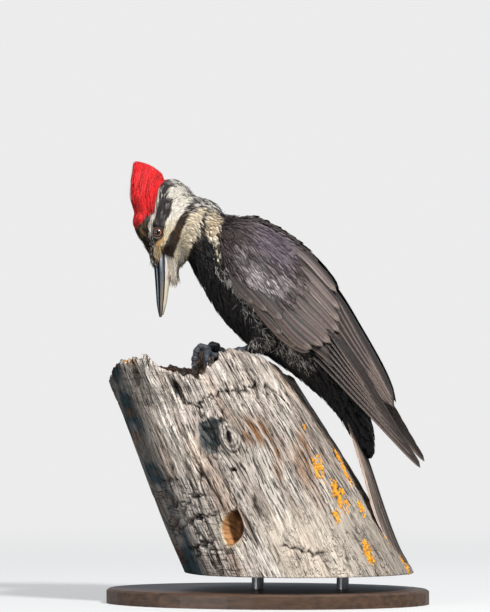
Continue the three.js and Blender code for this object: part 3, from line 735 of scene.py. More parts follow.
def coatDepth(p, hollow=False):
    x, _, z = (p / mm).T
    depth = np.full(len(p), flesh["body"])
    for region, mask in [("crown", ease(-52, -66, x)), ("face", ease(-72, -80, x) * ease(322, 310, z)),
                         ("crest", ease(-88, -94, x) * ease(312, 322, z)), ("wing", wingPlace(p)[2]),
                         ("thigh", ease(214, 208, z) * ease(2, -6, x) * (x > -60))]:
        depth = depth + (flesh[region] - depth) * mask
    if hollow:
        depth = depth + flesh["collarStep"] * hill(x, -34.5, 6) * ease(306, 314, z)
    return depth * mm


def bake(thing):
    # the mesh an object has after its modifiers; the object goes
    mesh = bpy.data.meshes.new_from_object(thing.evaluated_get(bpy.context.evaluated_depsgraph_get()))
    bpy.data.objects.remove(thing)
    return mesh


def keepLargest(bm):
    seen = set()
    groups = []
    for vertex in bm.verts:
        if vertex in seen:
            continue
        group = [vertex]
        seen.add(vertex)
        for member in group:
            for edge in member.link_edges:
                other = edge.other_vert(member)
                if other not in seen:
                    seen.add(other)
                    group.append(other)
        groups.append(group)
    for group in sorted(groups, key=len)[:-1]:
        bmesh.ops.delete(bm, geom=group, context="VERTS")


def makeSkin():
    bm = bmesh.new()
    for name in flesh["nodes"]:
        bm.from_mesh(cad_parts[name].data)
    bmesh.ops.remove_doubles(bm, verts=bm.verts, dist=1e-6)
    bm.normal_update()
    for vertex in bm.verts:
        vertex.co += vertex.normal * flesh["swell"] * mm
    mesh = bpy.data.meshes.new("flesh")
    bm.to_mesh(mesh)
    bm.free()
    body = addObject("flesh", mesh)
    remesh = body.modifiers.new("remesh", "REMESH")
    remesh.mode = "VOXEL"
    remesh.voxel_size = flesh["voxel"] * mm
    smooth = body.modifiers.new("smooth", "SMOOTH")
    smooth.factor = 0.5
    smooth.iterations = flesh["smooth"]
    mesh = bake(body)
    bm = bmesh.new()
    bm.from_mesh(mesh)
    keepLargest(bm)
    bm.normal_update()
    p = np.array([vertex.co for vertex in bm.verts])
    n = np.array([vertex.normal for vertex in bm.verts])
    p = p - n * (coatDepth(p, True) + flesh["inset"] * mm)[:, None]
    widest = np.interp(p[:, 2] / mm, *flesh["muzzle"]) * mm
    shrink = np.minimum(1, widest / np.maximum(np.abs(p[:, 1]), 1e-6))
    p[:, 1] *= 1 + (shrink - 1) * ease(-74.5, -78.5, p[:, 0] / mm)
    for vertex, place in zip(bm.verts, p):
        vertex.co = place
    for _ in range(flesh["settle"]):
        bmesh.ops.smooth_vert(bm, verts=bm.verts, factor=0.5, use_axis_x=True, use_axis_y=True,
                              use_axis_z=True)
    bm.normal_update()
    bm.to_mesh(mesh)
    bm.free()
    mesh.name = "skin"
    mesh.polygons.foreach_set("use_smooth", np.ones(len(mesh.polygons), bool))
    mesh.update()
    print("skin", len(mesh.polygons), "faces")
    return mesh


skin = makeSkin()
skinTree = BVHTree.FromPolygons([v.co for v in skin.vertices], [p.vertices for p in skin.polygons])
skinPoints, skinCorners = trianglesOf(skin)
setTint(skin, birdColour(skinPoints) * 0.62)
skin.materials.append(grainLook("skinDown", 900.0, 3.0, (1, 1, 1), (0.7, 0.6), None, 0.0004,
                                Roughness=0.85, Specular_IOR_Level=0.2))
settle(addObject("skin", skin), "plumage", *flesh["nodes"])


# Coat: the way the feathers lie, where each one roots, and how it lies on the skin.

lie = {
    # strokes the feathers follow, as (x, y, z) in millimetres; y counts from the middle outward
    "face": [(-87, 6, 276), (-86, 10, 288), (-83, 14, 303), (-79, 16, 317), (-71, 16, 328), (-60, 16, 324)],
    "neck": [(-60, 18, 324), (-48, 22, 310), (-34, 28, 294), (-14, 34, 270), (12, 36, 240), (36, 32, 208),
             (58, 20, 175), (76, 10, 138), (88, 6, 108)],
    "crown": [(-97, 2, 284), (-103, 4, 298), (-108, 4, 315), (-109, 4, 332), (-109, 3, 348), (-107, 2, 362)],
    "crest": [(-92, 12, 318), (-93, 12, 330), (-96, 10, 342), (-101, 6, 354), (-106, 2, 364)],
    "nape": [(-88, 4, 346), (-80, 4, 348), (-70, 6, 344), (-58, 8, 334), (-44, 8, 326), (-28, 8, 322),
             (-6, 8, 314), (18, 8, 300), (40, 6, 280), (60, 4, 252), (78, 4, 216)],
    "throat": [(-78, 2, 264), (-68, 4, 282), (-61, 6, 284), (-52, 8, 268), (-40, 8, 248), (-22, 8, 224),
               (-2, 8, 206), (22, 8, 192), (44, 6, 172), (64, 6, 146), (80, 4, 118)],
    "thigh": [(4, 26, 224), (-3, 31, 213), (-9, 33, 207.6), (-14, 34, 205)],
}

coat = {
    # feather length and width in millimetres by place down the body, from the bill to the tail
    "place": [0.0, 0.1, 0.2, 0.3, 0.4, 0.48, 0.58, 0.75, 0.9, 1.0],
    "length": [3.0, 4.2, 6.4, 8.0, 9.0, 10.0, 12.5, 15.0, 18.0, 20.0],
    "width": [0.75, 0.95, 1.05, 1.05, 1.3, 2.1, 2.8, 3.3, 3.8, 4.2],
    # the same on the crest, the thigh and by place down the wing
    "crest": (17, 1.05), "thigh": (8, 1.8), "wingPlace": [0, 0.15, 0.35, 0.6],
    "wingLength": [11, 15, 18, 20], "wingWidth": [1.6, 1.7, 2.0, 2.4],
    "tries": 420000, "reach": 9.0, "spread": 0.6, "knots": 6, "eyeClear": 5.2, "hackle": 3.0, "brow": 3.4,
    "overlap": 1.3,
    # the crest's sharp outline, front to rear, and its rear edge by height
    "crestEdge": [(-111.6, 0, 362), (-107.2, 0, 362.4), (-100, 0, 360.5), (-93.5, 0, 357.2),
                  (-87.8, 0, 352.6), (-85.5, 0, 347)],
    "crestRear": ([306, 318, 324, 332, 342, 347], [-104, -97, -93, -90, -88, -85]),
}


def strokeSamples():
    lines = [track(np.array(line) * mm, np.linspace(0, 1, 8 * len(line))) for line in lie.values()]
    headings = [unit(np.gradient(line, axis=0)) for line in lines]
    u, v = np.meshgrid(np.linspace(0.02, 0.6, 14), np.linspace(0.06, 0.94, 8), indexing="ij")
    dots = wingPoint(u, v).reshape(-1, 3) * [1, -1, 1]
    ahead = wingPoint(u + 0.05, v + 0.05 * ease(0.0, 0.3, v)).reshape(-1, 3) * [1, -1, 1]
    return np.concatenate([*lines, dots]), np.concatenate([*headings, unit(ahead - dots)])


strokePlaces, strokeHeadings = strokeSamples()


def lieOf(p, normal):
    # the way a feather points at each place on the skin
    mirror = np.where(p[:, 1:2] < 0, [1.0, -1.0, 1.0], 1.0)
    local = p * mirror
    out = np.zeros_like(p)
    for low in range(0, len(p), 2000):
        part = local[low:low + 2000]
        far = np.linalg.norm(part[:, None] - strokePlaces[None], axis=2) / mm
        weight = np.exp(-(far / coat["reach"]) ** 2) + 1e-4 / (1 + far ** 2)
        out[low:low + 2000] = weight @ strokeHeadings
    out = out * mirror
    return unit(out - normal * (out * normal).sum(1, keepdims=True))


def featherSizes(p):
    # length and width of the feather that roots at each point, in metres
    t = downBody(p)[0]
    x, _, z = (p / mm).T
    u, _, onWing = wingPlace(p)
    length, width = [np.interp(t, coat["place"], coat[key]) for key in ("length", "width")]
    wingSize = [np.interp(u, coat["wingPlace"], coat[key]) for key in ("wingLength", "wingWidth")]
    for mask, (long, wide) in [(ease(-86, -92, x) * ease(308, 318, z), coat["crest"]), (onWing, wingSize),
                               (ease(216, 208, z) * ease(4, -4, x) * (x > -60), coat["thigh"])]:
        length = length + (long - length) * mask
        width = width + (wide - width) * mask
    return length * mm, width * mm


def scatterRoots():
    # places on the skin, no two closer than their feathers' width allows
    corner = skinPoints[skinCorners]
    cross = np.cross(corner[:, 1] - corner[:, 0], corner[:, 2] - corner[:, 0])
    length, width = featherSizes(corner.mean(1))
    weight = np.linalg.norm(cross, axis=1) / width ** 2
    tries = coat["tries"]
    random = np.random.default_rng(3)
    pick = random.choice(len(corner), tries, p=weight / weight.sum())
    a, b = random.random((2, tries, 1))
    over = a + b > 1
    a = np.where(over, 1 - a, a)
    b = np.where(over, 1 - b, b)
    corner, length, width = corner[pick], length[pick], width[pick]
    p = corner[:, 0] + (corner[:, 1] - corner[:, 0]) * a + (corner[:, 2] - corner[:, 0]) * b
    finder = KDTree(tries)
    for n, place in enumerate(p):
        finder.insert(place, n)
    finder.balance()
    taken = np.zeros(tries, bool)
    keep = []
    for n in range(tries):
        if not taken[n]:
            keep.append(n)
            for _, other, _ in finder.find_range(p[n], width[n] * coat["spread"]):
                taken[other] = True
    return p[keep], unit(cross[pick[keep]]), length[keep], width[keep]


def drape(roots, normals, lengths, lift, knots, wander):
    # feather spines that follow the skin from root to tip and rise above it
    random = np.random.default_rng(7)
    heading = lieOf(roots, normals)
    heading = unit(heading + np.cross(normals, heading) * random.normal(0, wander, (len(roots), 1)))
    here = roots.copy()
    up = normals.copy()
    spine = np.zeros((len(roots), knots, 3))
    face = np.zeros((len(roots), knots, 3))
    for k in range(knots):
        rise = lift * (k / (knots - 1)) ** 0.7
        spine[:, k] = here + up * rise[:, None]
        face[:, k] = up
        here = here + heading * (lengths / (knots - 1))[:, None]
        for n, place in enumerate(here):
            found, normal, _, far = skinTree.find_nearest(place)
            if far < 0.25 * lengths[n]:
                here[n] = found
                up[n] = normal
        heading = unit(heading - up * (heading * up).sum(1, keepdims=True))
        if k < knots - 2:
            heading = unit(heading + 0.35 * lieOf(here, up))
    return spine, face


def gather(spines):
    # the upper locks of the crest drawn up to its sharp outline, front ones to the tip
    random = np.random.default_rng(23)
    root = spines[:, 0] / mm
    rear = np.interp(root[:, 2], *coat["crestRear"])
    across = np.clip((root[:, 0] + 110) / (rear + 110) + random.normal(0, 0.05, len(root)), 0, 1)
    goal = track(coat["crestEdge"], across) * mm
    goal[:, 1] = np.sign(root[:, 1]) * random.uniform(0, 2.2, len(root)) * mm
    goal[:, 2] -= random.random(len(root)) ** 2 * 5 * mm
    goal[:, 2] = np.maximum(goal[:, 2], spines[:, 0, 2] + 3 * mm)
    reach = np.linalg.norm(goal - spines[:, 0], axis=1, keepdims=True)
    elbow = spines[:, 0] + unit(spines[:, 2] - spines[:, 0]) * reach * 0.5
    s = np.linspace(0, 1, spines.shape[1])[None, :, None]
    free = spines[:, :1] * (1 - s) ** 2 + elbow[:, None] * 2 * s * (1 - s) + goal[:, None] * s ** 2
    return blend(spines, free, ease(0.334, 0.346, spines[:, -1, 2])[:, None])


def bareSkin(p):
    # around the eyes, under the bill and beneath the wing's own rows
    x, _, z = (p / mm).T
    eye = np.array(plan["eye"]) * mm
    gap = np.linalg.norm(p * [1, 0, 1] + np.abs(p * [0, 1, 0]) - eye, axis=1) / mm
    u, _, onWing = wingPlace(p)
    return ((gap < coat["eyeClear"] + 1.6 * ease(301, 297, z)) | (z < 282) & (x < -76)
            | (z < 287.5 - 0.6 * (x + 84)) & (x > -88) & (x < -78.5) | (onWing > 0.5) & (u > 0.44))


def makeCoat():
    roots, normals, lengths, widths = scatterRoots()
    keep = ~bareSkin(roots)
    roots, normals, lengths, widths = roots[keep], normals[keep], lengths[keep], widths[keep]
    x, _, z = (roots / mm).T
    random = np.random.default_rng(11)
    lengths = lengths * random.uniform(0.85, 1.2, len(roots))
    lift = coatDepth(roots) * random.uniform(0.75, 1.25, len(roots))
    t, back = downBody(roots)
    hackle = hill(x, -53, 8.5) * ease(8 * mm, 17 * mm, back) * (x < -44)
    brow = hill(z, 289, 8) * ease(-91.5, -96, x)
    lift = lift * (1 - 0.5 * ease(-46, -43, x) * ease(-24, -30, x) * (back > 14 * mm))
    lift = lift + coat["hackle"] * hackle * random.uniform(0.3, 1.15, len(roots)) * mm
    lift = lift + coat["brow"] * brow * random.uniform(0.6, 1.1, len(roots)) * mm
    lengths = lengths * (1 + 0.35 * hackle + 0.8 * brow)
    colours = birdColour(roots, 0.5)
    red = (ease(-88, -92, x) > 0.5) & (z > 306) & (colours[:, 0] > 2.5 * colours[:, 1])
    onWing = wingPlace(roots)[2] > 0.5
    face = (t < 0.27) & ~red
    neck = (t >= 0.27) & (t < 0.5) & ~red & ~onWing & (x < -26)
    body = ~red & ~face & ~neck & ~onWing
    # name, which roots, vane, slot, material, wander of the heading, spread of tone, weight of the pale edge
    for name, pick, kind, slot, look, wander, lively, pale in [
            ("coat_crest", red, "lock", "crest", crestLook, 0.08, 0.3, 0.5),
            ("coat_face", face, "tiny", "plumage", coatLook, 0.12, 0.2, 0.3),
            ("coat_neck", neck, "loose", "plumage", coatLook, 0.18, 0.22, 0.25),
            ("coat_body", body, "soft", "plumage", coatLook, 0.2, 0.3, 0.22),
            ("coat_wings", onWing, "silky", "plumage", coatLook, 0.12, 0.4, 0.4)]:
        high = lift[pick] * (1.35 + 0.5 * ease(-97, -103, x[pick]) if slot == "crest" else 1)
        spines, faces = drape(roots[pick], normals[pick], lengths[pick], high, coat["knots"], wander)
        colours = birdColour(spines[:, coat["knots"] - 3])
        edges = np.minimum(colours * 1.5 + 0.006, 1.0)
        if slot == "crest":
            spines = gather(spines)
            deep = ease(0.5, 0.8, softNoise(roots[pick], 3.0, 21)) * 0.6
            colours = paint(shades, colours, ("crestDark", deep))
            edges = colours * [1.3, 2.4, 2.2]
        wide = widths[pick] * coat["overlap"]
        sets = [layVanes(kind, spines[n::3], faces[n::3], wide[n::3], colours[n::3], n + 1, edges[n::3],
                         pale, lively=lively) for n in range(3)]
        settle(featherPiece(name, sets, look), slot)


makeCoat()


# Loose strands: bristles over the bill's base, the chin's tuft, and pale filaments of the flank.

strands = {
    # path of the roots (x, y, z), how many, spread, heading, length, width, lift, wildness, shades
    "nasal": ([(-94.5, 3, 288), (-93, 6, 288), (-92, 8, 289)],
              200, 1.2, (0.08, -0.12, -1), (7, 13), 0.45, 1.5, 0.16,
              ["speckle", "throat", "forehead", "throat"]),
    "tuft": ([(-91.4, 8, 290), (-89.5, 10, 291), (-87.6, 12, 294)],
             170, 1.0, (-0.06, -0.15, -1), (7, 13), 0.5, 1.2, 0.1, ["cream", "ochre", "cream"]),
    "lore": ([(-96, 7, 300), (-94.6, 8, 294), (-93, 8, 286)],
             190, 1.5, (-0.3, 0.1, -0.9), (3, 5), 0.45, 1.4, 0.3, ["speckle", "throat", "throat"]),
    "gape": ([(-83, 13, 291), (-80.5, 12.5, 289), (-78, 11, 287)],
             90, 1.0, (-0.03, -0.1, -1), (3, 6), 0.5, 0.8, 0.12, ["malar", "rust", "malar"]),
    "chin": ([(-79.5, 8.5, 286), (-77.5, 8, 283.5), (-75, 7, 282)],
             480, 1.2, (-0.04, -0.1, -1), (12, 24), 0.6, 0.9, 0.05, ["chin", "white", "white"]),
    "jaw": ([(-75, 6, 282), (-72, 4, 281), (-70.5, 3.5, 284), (-68, 5, 288.5), (-65.4, 7, 294)],
            560, 1.2, (-0.5, -0.08, -1), (8, 16), 0.6, 1.0, 0.04, ["white"]),
    "side": ([(-63, 17, 300), (-59, 18, 308), (-56, 19, 316)],
             60, 3.5, (0.8, 0.1, -0.5), (4, 6), 0.34, 0.5, 0.08, ["white", "chin", "speckle"]),
    "nape": ([(-72, 5, 340), (-60, 6, 333), (-48, 8, 327), (-43, 10, 323)],
             260, 4.5, (0.86, 0.05, -0.4), (4, 7), 0.34, 0.9, 0.25,
             ["speckle", "throat", "nape", "speckle"]),
    "collar": ([(-42, 24, 312), (-41, 27, 303), (-37.5, 30, 291), (-35.5, 31, 282)],
               130, 2.0, (0.25, 0, -0.95), (4, 7), 0.34, 0.6, 0.16, ["buff", "white", "throat"]),
    "flank": ([(-38, 30, 275), (-24, 34, 261), (-15, 37, 243), (1, 38, 225), (20, 36, 204), (34, 32, 193)],
              1000, 3.0, (0.5, 0, -0.85), (6, 11), 0.36, 1.9, 0.32,
              ["speckle", "flank", "speckle", "belly"]),
    "thigh": ([(-14, 30, 216), (-4, 32, 216), (10, 30, 208), (24, 26, 198)],
              520, 4.2, (0.2, 0, -1), (5, 9), 0.32, 1.2, 0.3, ["flank", "speckle", "flank", "belly"]),
}
bristles = ["nasal", "tuft", "lore", "gape", "chin", "jaw"]
wisps = ["side", "nape", "collar", "flank", "thigh"]


def strandSet(random, sign, outward, path, count, spread, heading, long, wide, lift, wild, tones):
    # fine curling strands rooted along a path; "outward" says how far their faces follow the skin
    roots = track(path, random.random(count)) + random.normal(0, spread, (count, 3)) * [1, 0.3, 1]
    here = roots * [1, sign, 1] * mm
    up = np.zeros_like(here)
    for n, place in enumerate(here):
        here[n], up[n] = skinTree.find_nearest(place)[:2]
    length = random.uniform(*long, count) * mm
    ahead = unit(np.array(heading) * [1, sign, 1] + random.normal(0, wild, (count, 3)))
    ahead = unit(ahead - up * (ahead * up).sum(1, keepdims=True) * 0.9)
    bend = random.normal(0, wild * 0.8, (count, 1))
    s = np.linspace(0, 1, 7)[None, :, None]
    wave = np.sin(s * random.uniform(4, 9, (count, 1, 1)) + random.uniform(0, 6, (count, 1, 1)))
    curl = np.cross(ahead, up)[:, None] * (bend[:, None] * s ** 2 + wave * s * wild * 0.15)
    rise = up[:, None] * (s * (1.25 - s) * 1.6 * lift * random.uniform(0.3, 1.1, (count, 1, 1)) + 0.25) * mm
    rise = rise + up[:, None] * coatDepth(here)[:, None, None] * 0.75 * ease(0, 0.4, s)
    spines = here[:, None] + (ahead[:, None] * s + curl) * length[:, None, None] + rise
    faces = np.broadcast_to(unit(up * outward + [0, 0.9 * sign, 0.25])[:, None], spines.shape)
    shade = np.array([ink[tone] for tone in tones])[random.integers(0, len(tones), count)]
    widths = np.full(count, wide * coat["overlap"]) * mm
    return layVanes("strand", spines, faces, widths, shade, 5, lively=0.25, roots=here)


def makeStrands():
    random = np.random.default_rng(17)
    for piece, names, signs, outward in [("coat_bristles", bristles, (-1, 1), 0.45),
                                         ("coat_wisps_left", wisps, (-1,), 1),
                                         ("coat_wisps_right", wisps, (1,), 1)]:
        sets = [strandSet(random, sign, outward, *strands[name]) for name in names for sign in signs]
        settle(featherPiece(piece, sets, coatLook), "plumage")


makeStrands()


# Wings: rows of coverts and the long flight feathers, one blade each.

flight = {
    "coverts": 8, "secondaries": 9, "primaries": 7, "knots": 14,
    "primaryRoot": (42, -32.5, 202), "primaryTip": (127, -13.5, 112), "primaryStep": 10.5,
    "outward": (0.3, -0.85, 0.3),
    # short rows at the shoulder and on the front edge: starts and ends as (u, v), lifts and widths
    "lesser": ([(0.06, 0.9), (0.11, 0.84), (0.17, 0.78)], [(0.27, 0.95), (0.33, 0.89), (0.39, 0.83)],
               [(-1.0, 1.6), (-1.0, 1.4), (-1.0, 1.2)], [9.5, 10.5, 11.0]),
    "alula": ([(0.2, 0.97), (0.24, 0.99), (0.3, 1.0)], [(0.4, 0.98), (0.47, 1.0), (0.53, 1.0)],
              [(0.2, 1.6), (0.1, 1.2), (0.0, 0.8)], [7.5, 8.0, 8.0]),
}


def wingPath(start, end, lift, knots=8):
    # spines over the wing's surface from (u, v) to (u, v), rising from lift[0] to lift[1]
    s = np.linspace(0, 1, knots)[None, :, None]
    line = np.asarray(start, float)[:, None, :] * (1 - s) + np.asarray(end, float)[:, None, :] * s
    u, v = line[..., 0], line[..., 1]
    normal = wingNormal(u, np.clip(v, 0.08, 0.92))
    rise = np.asarray(lift, float)
    rise = (rise[:, :1] * (1 - s[..., 0]) + rise[:, 1:] * s[..., 0]) * mm
    return wingPoint(u, v) + normal * rise[..., None], normal


def wingRow(kind, lines, widths, colours, seed, edgeWeight):
    # one row of the left wing, as layVanes takes it
    ones = np.ones(len(lines[0]))
    return {"kind": kind, "spines": lines[0], "normals": lines[1], "widths": ones * widths * mm,
            "colours": ones[:, None] * colours, "seed": seed, "edges": ones[:, None] * ink["flightEdge"],
            "edgeWeight": edgeWeight}


def bothWings(name, rows, material, slot):
    # the left wing's rows and the same laid on the right; the coverts' nodes belong to the skin
    far = [dict(row, spines=toFarWing(row["spines"]), normals=toFarWing(row["normals"], True), flip=True)
           for row in rows]
    for side, laid in (("left", rows), ("right", far)):
        piece = featherPiece(name + "_" + side, [layVanes(**row) for row in laid], material)
        settle(piece, slot, *([] if name == "coverts" else ["wing_{}_{}".format(side, name)]))


def makeWings():
    random = np.random.default_rng(31)
    f = np.linspace(0, 1, flight["coverts"])
    v = 0.95 - 0.86 * f
    end = wing["covertEnd"] - 0.1 * (2 * v - 1) ** 2 + random.normal(0, 0.006, len(f))
    lines = wingPath(np.stack([end - 0.3, v - 0.2 + 0.14 * f], 1), np.stack([end, v], 1),
                     np.stack([-1.6 + 0 * f, 1.7 + 1.6 * f], 1), 10)
    colours = paint(shades, "coverts", ("flight", 0.05 + 0.3 * random.random(len(f))))
    *lesser, lesserWidth = flight["lesser"]
    *alula, alulaWidth = flight["alula"]
    bothWings("coverts", [wingRow("covert", lines, 13.5, colours, 41, 0.35),
                          wingRow("covert", wingPath(*lesser), lesserWidth, ink["coverts"], 44, 0.35),
                          wingRow("covert", wingPath(*alula), alulaWidth, ink["flight"] * 0.7, 43, 0.4)],
              covertLook, "plumage")

    f = np.linspace(0, 1, flight["secondaries"])
    start = np.stack([0.44 - 0.02 * f, 0.06 + 0.82 * f ** 1.15], 1)
    end = np.stack([1.0 - 0.16 * np.abs(f - 0.25) ** 1.2, 0.14 + 0.8 * f ** 1.1], 1)
    lines = wingPath(start, end, np.stack([-0.4 - 1.0 * f, 3.0 - 3.8 * f], 1), flight["knots"])
    colours = paint(shades, "flight", ("primary", 0.6 * random.random(len(f))))
    remiges = [wingRow("remex", lines, 18.0 - 2.5 * f, colours, 51, 0.2)]
    bothWings("secondaries", remiges, flightLook, "flight")

    f = np.arange(flight["primaries"])
    root = np.array(flight["primaryRoot"]) + np.stack([1.8 * f, -0.4 * f, 3.8 * f], 1)
    along = unit(np.array(flight["primaryTip"], float) - flight["primaryRoot"])
    tip = np.array(flight["primaryTip"]) - along * (flight["primaryStep"] * f)[:, None]
    tip = tip + np.stack([1.3 * f, -0.5 * f, 1.7 * f], 1)
    s = np.linspace(0, 1, flight["knots"])
    outward = np.array(flight["outward"])
    outward = unit(outward - along * np.dot(outward, along))
    spines = root[:, None] * (1 - s[None, :, None]) + tip[:, None] * s[None, :, None]
    spines = spines + outward * (np.sin(s * np.pi) * 4.0)[None, :, None] * (1 - f * 0.04)[:, None, None]
    lines = (spines * mm, np.broadcast_to(outward, spines.shape).copy())
    colours = paint(shades, "primary", ("flight", 0.5 * random.random(len(f))))
    bothWings("primaries", [wingRow("primary", lines, 12.5, colours, 61, 0.15)], primaryLook, "flight")


makeWings()


# Tail: six pairs of stiff feathers fanned over the middle line.

tail = {
    "line": [(64, 172), (73, 145), (84.5, 113), (95.5, 80), (106, 52), (115, 34)],
    # each pair's reach along the line, spread from the middle and width
    "pairs": [(1.0, 0.16, 15), (0.985, 0.5, 16.5), (0.955, 0.85, 17.5), (0.9, 1.2, 17.5), (0.84, 1.52, 17),
              (0.74, 1.8, 15)],
}


def makeTail():
    for side, sign in (("left", -1), ("right", 1)):
        sets = []
        for pair, (reach, spread, width) in enumerate(tail["pairs"]):
            s = np.linspace(0, 1, flight["knots"]) * reach
            line = track(tail["line"], s)
            heading = unit(np.gradient(line, axis=0))
            under = np.stack([heading[:, 1], 0 * s, -heading[:, 0]], 1)
            out = spread * (3 + 7.6 * np.minimum(1, s * 1.6))
            middle = np.stack([line[:, 0], sign * out, line[:, 1]], 1)
            middle = middle + under * (spread * 1.5 + out ** 2 * 0.006)[:, None]
            normal = unit(-under + np.stack([0 * s, sign * 0.024 * out, 0 * s], 1))
            shade = paint(shades, "tail", ("tailPale", max(0, pair - 1) / 4.4))
            sets.append(layVanes("rectrix", middle[None] * mm, normal[None], np.array([width]) * mm, shade,
                                 70 + pair, ink["tailPale"][None], 0.3, flip=sign > 0))
        settle(featherPiece("tail_feathers_" + side, sets, flightLook), "flight", "tail_" + side)


makeTail()


# Bill: two horny halves lofted down to a chisel tip.

bill = {
    # level, culmen x, cutting-edge x, half width, keel x
    "stations": [(293, -94.0, -84.0, 10.2, -78.0), (285, -94.5, -84.4, 9.6, -78.4),
                 (277, -94.2, -84.5, 8.2, -79.0), (267, -93.4, -84.6, 6.5, -80.0),
                 (256, -92.6, -85.1, 5.0, -81.9), (246, -91.9, -86.0, 3.7, -83.4),
                 (238.5, -90.7, -86.9, 2.6, -85.3), (234.2, -89.6, -87.7, 1.7, -86.4)],
    # half of each cross-section: how far from the cutting edge, how wide
    "upper": [(0.0, 0.55), (0.02, 0.94), (0.1, 1.0), (0.24, 0.97), (0.38, 0.9), (0.47, 0.86), (0.54, 0.72),
              (0.68, 0.5), (0.82, 0.36), (0.94, 0.24), (1.0, 0.0)],
    "lower": [(0.0, 0.55), (0.03, 0.9), (0.15, 0.95), (0.35, 0.86), (0.55, 0.68), (0.75, 0.46), (0.9, 0.24),
              (1.0, 0.0)],
    "rings": 64, "gap": 0.25, "rows": 30, "lowerShort": 1.6,
    "shades": {"dark": (13, 13, 15), "slate": (100, 108, 114), "light": (214, 214, 212),
               "blue": (176, 198, 220), "warm": (132, 120, 110), "pale": (210, 202, 206),
               "cream": (226, 214, 186), "paleEdge": (96, 90, 90), "tip": (52, 48, 52)},
}


def billTint(upper, up, along):
    # bands that run down the bill, by how far from the cutting edge and how far down
    def band(low, high, weight=1.0):
        return ease(low - 0.03, low + 0.03, up) * ease(high + 0.03, high - 0.03, up) * weight

    tip = ("tip", ease(0.7, 1.0, along) * 0.55)
    if upper:
        # the pale blue band high on the side is a painted highlight
        return paint(bill["shades"], "slate", ("warm", ease(0.35, 0.65, along)),
                     ("light", band(0.16, 0.31, 0.85 * ease(0.4, 0.2, along))), ("dark", band(0.38, 0.66)),
                     ("blue", band(0.67, 0.75, 0.9 * ease(0.9, 0.6, along))), ("dark", band(0.78, 1.1)),
                     ("dark", band(-0.1, 0.04, 0.9)), tip)
    return paint(bill["shades"], "pale", ("cream", ease(0.2, 0.6, along)),
                 ("paleEdge", band(-0.1, 0.06, 0.8)), ("paleEdge", band(0.7, 1.1, 0.3)), tip)


def makeBill():
    t = np.linspace(0, 1, bill["rings"])
    level, culmen, edge, half, keel = track(bill["stations"], t).T
    look = grainLook("billHorn", 1500.0, 3.0, (1, 1, 0.06), (0.8, 0.4), (0.42, 0.2), 0.00025, 0.5,
                     Specular_IOR_Level=0.28)
    for name, far, shift, short in [("upper", culmen, -bill["gap"], 0),
                                    ("lower", keel, bill["gap"], bill["lowerShort"])]:
        fine = np.linspace(0, 1, bill["rows"]) ** 1.15
        width = np.interp(fine, *np.array(bill[name]).T)
        rise = np.concatenate([[0], fine, fine[-2::-1]])
        wide = np.concatenate([[0], width, -width[-2::-1]])
        x = (edge + shift)[:, None] * (1 - rise) + far[:, None] * rise
        z = np.broadcast_to((level + short * t ** 6)[:, None], x.shape)
        points, quads, tris = loft(np.stack([x, half[:, None] * wide, z], -1) * mm)
        along = np.append(np.repeat(t, len(rise)), [0, 1])
        up = np.append(np.tile(rise, len(t)), [0.5, 0.5])
        piece = makePiece("bill_" + name, points, quads, tris, look, billTint(name == "upper", up, along))
        settle(piece, "bill", name + "_mandible")


makeBill()


# Eyes: a glossy ball with pupil and iris, in a bare ring of skin between the lids.

eyes = {
    # the pupil and the iris as angles from the gaze
    "pupil": 23.0, "iris": 39.0, "upward": (-0.5, 0, 0.86), "pale": (-0.78, 0, -0.62),
    # the ring's section: angle from the gaze, height over the ball in millimetres
    "lid": [(52, 0.05), (52, 0.35), (54.5, 0.5), (58, 0.38), (63, 0.5), (69, 0.4), (76, 0.0), (84, -0.6),
            (70, -1.2), (58, -0.8)],
    "shades": {"pupil": (4, 3, 4), "iris": (142, 94, 72), "irisDark": (64, 36, 28), "white": (30, 20, 18),
               "ring": (228, 208, 194), "ringDark": (30, 26, 25)},
}


def eyeTint(angle, spin):
    fibres = 0.5 + 0.5 * np.sin(spin * 23 + 2 * np.sin(spin * 7))
    dark = 0.25 * fibres + 0.7 * ease(34, 43, angle) + 0.5 * ease(27, 22, angle)
    iris = paint(eyes["shades"], "iris", ("irisDark", dark))
    tint = paint(eyes["shades"], "pupil", (iris, ease(eyes["pupil"] - 0.8, eyes["pupil"] + 0.8, angle)))
    # painted shadow: the upper part of the iris darkened as if shaded by the brow
    tint = tint * (1 - 0.5 * ease(0.1, 0.9, np.sin(spin)) * ease(15, 30, angle))[:, None]
    return paint(eyes["shades"], tint, ("white", ease(eyes["iris"] - 1, eyes["iris"] + 1, angle)))


def eyeRings(centre, gaze, spoke, radius, lean):
    return centre + radius * (np.cos(lean) * gaze + np.sin(lean) * spoke[None])


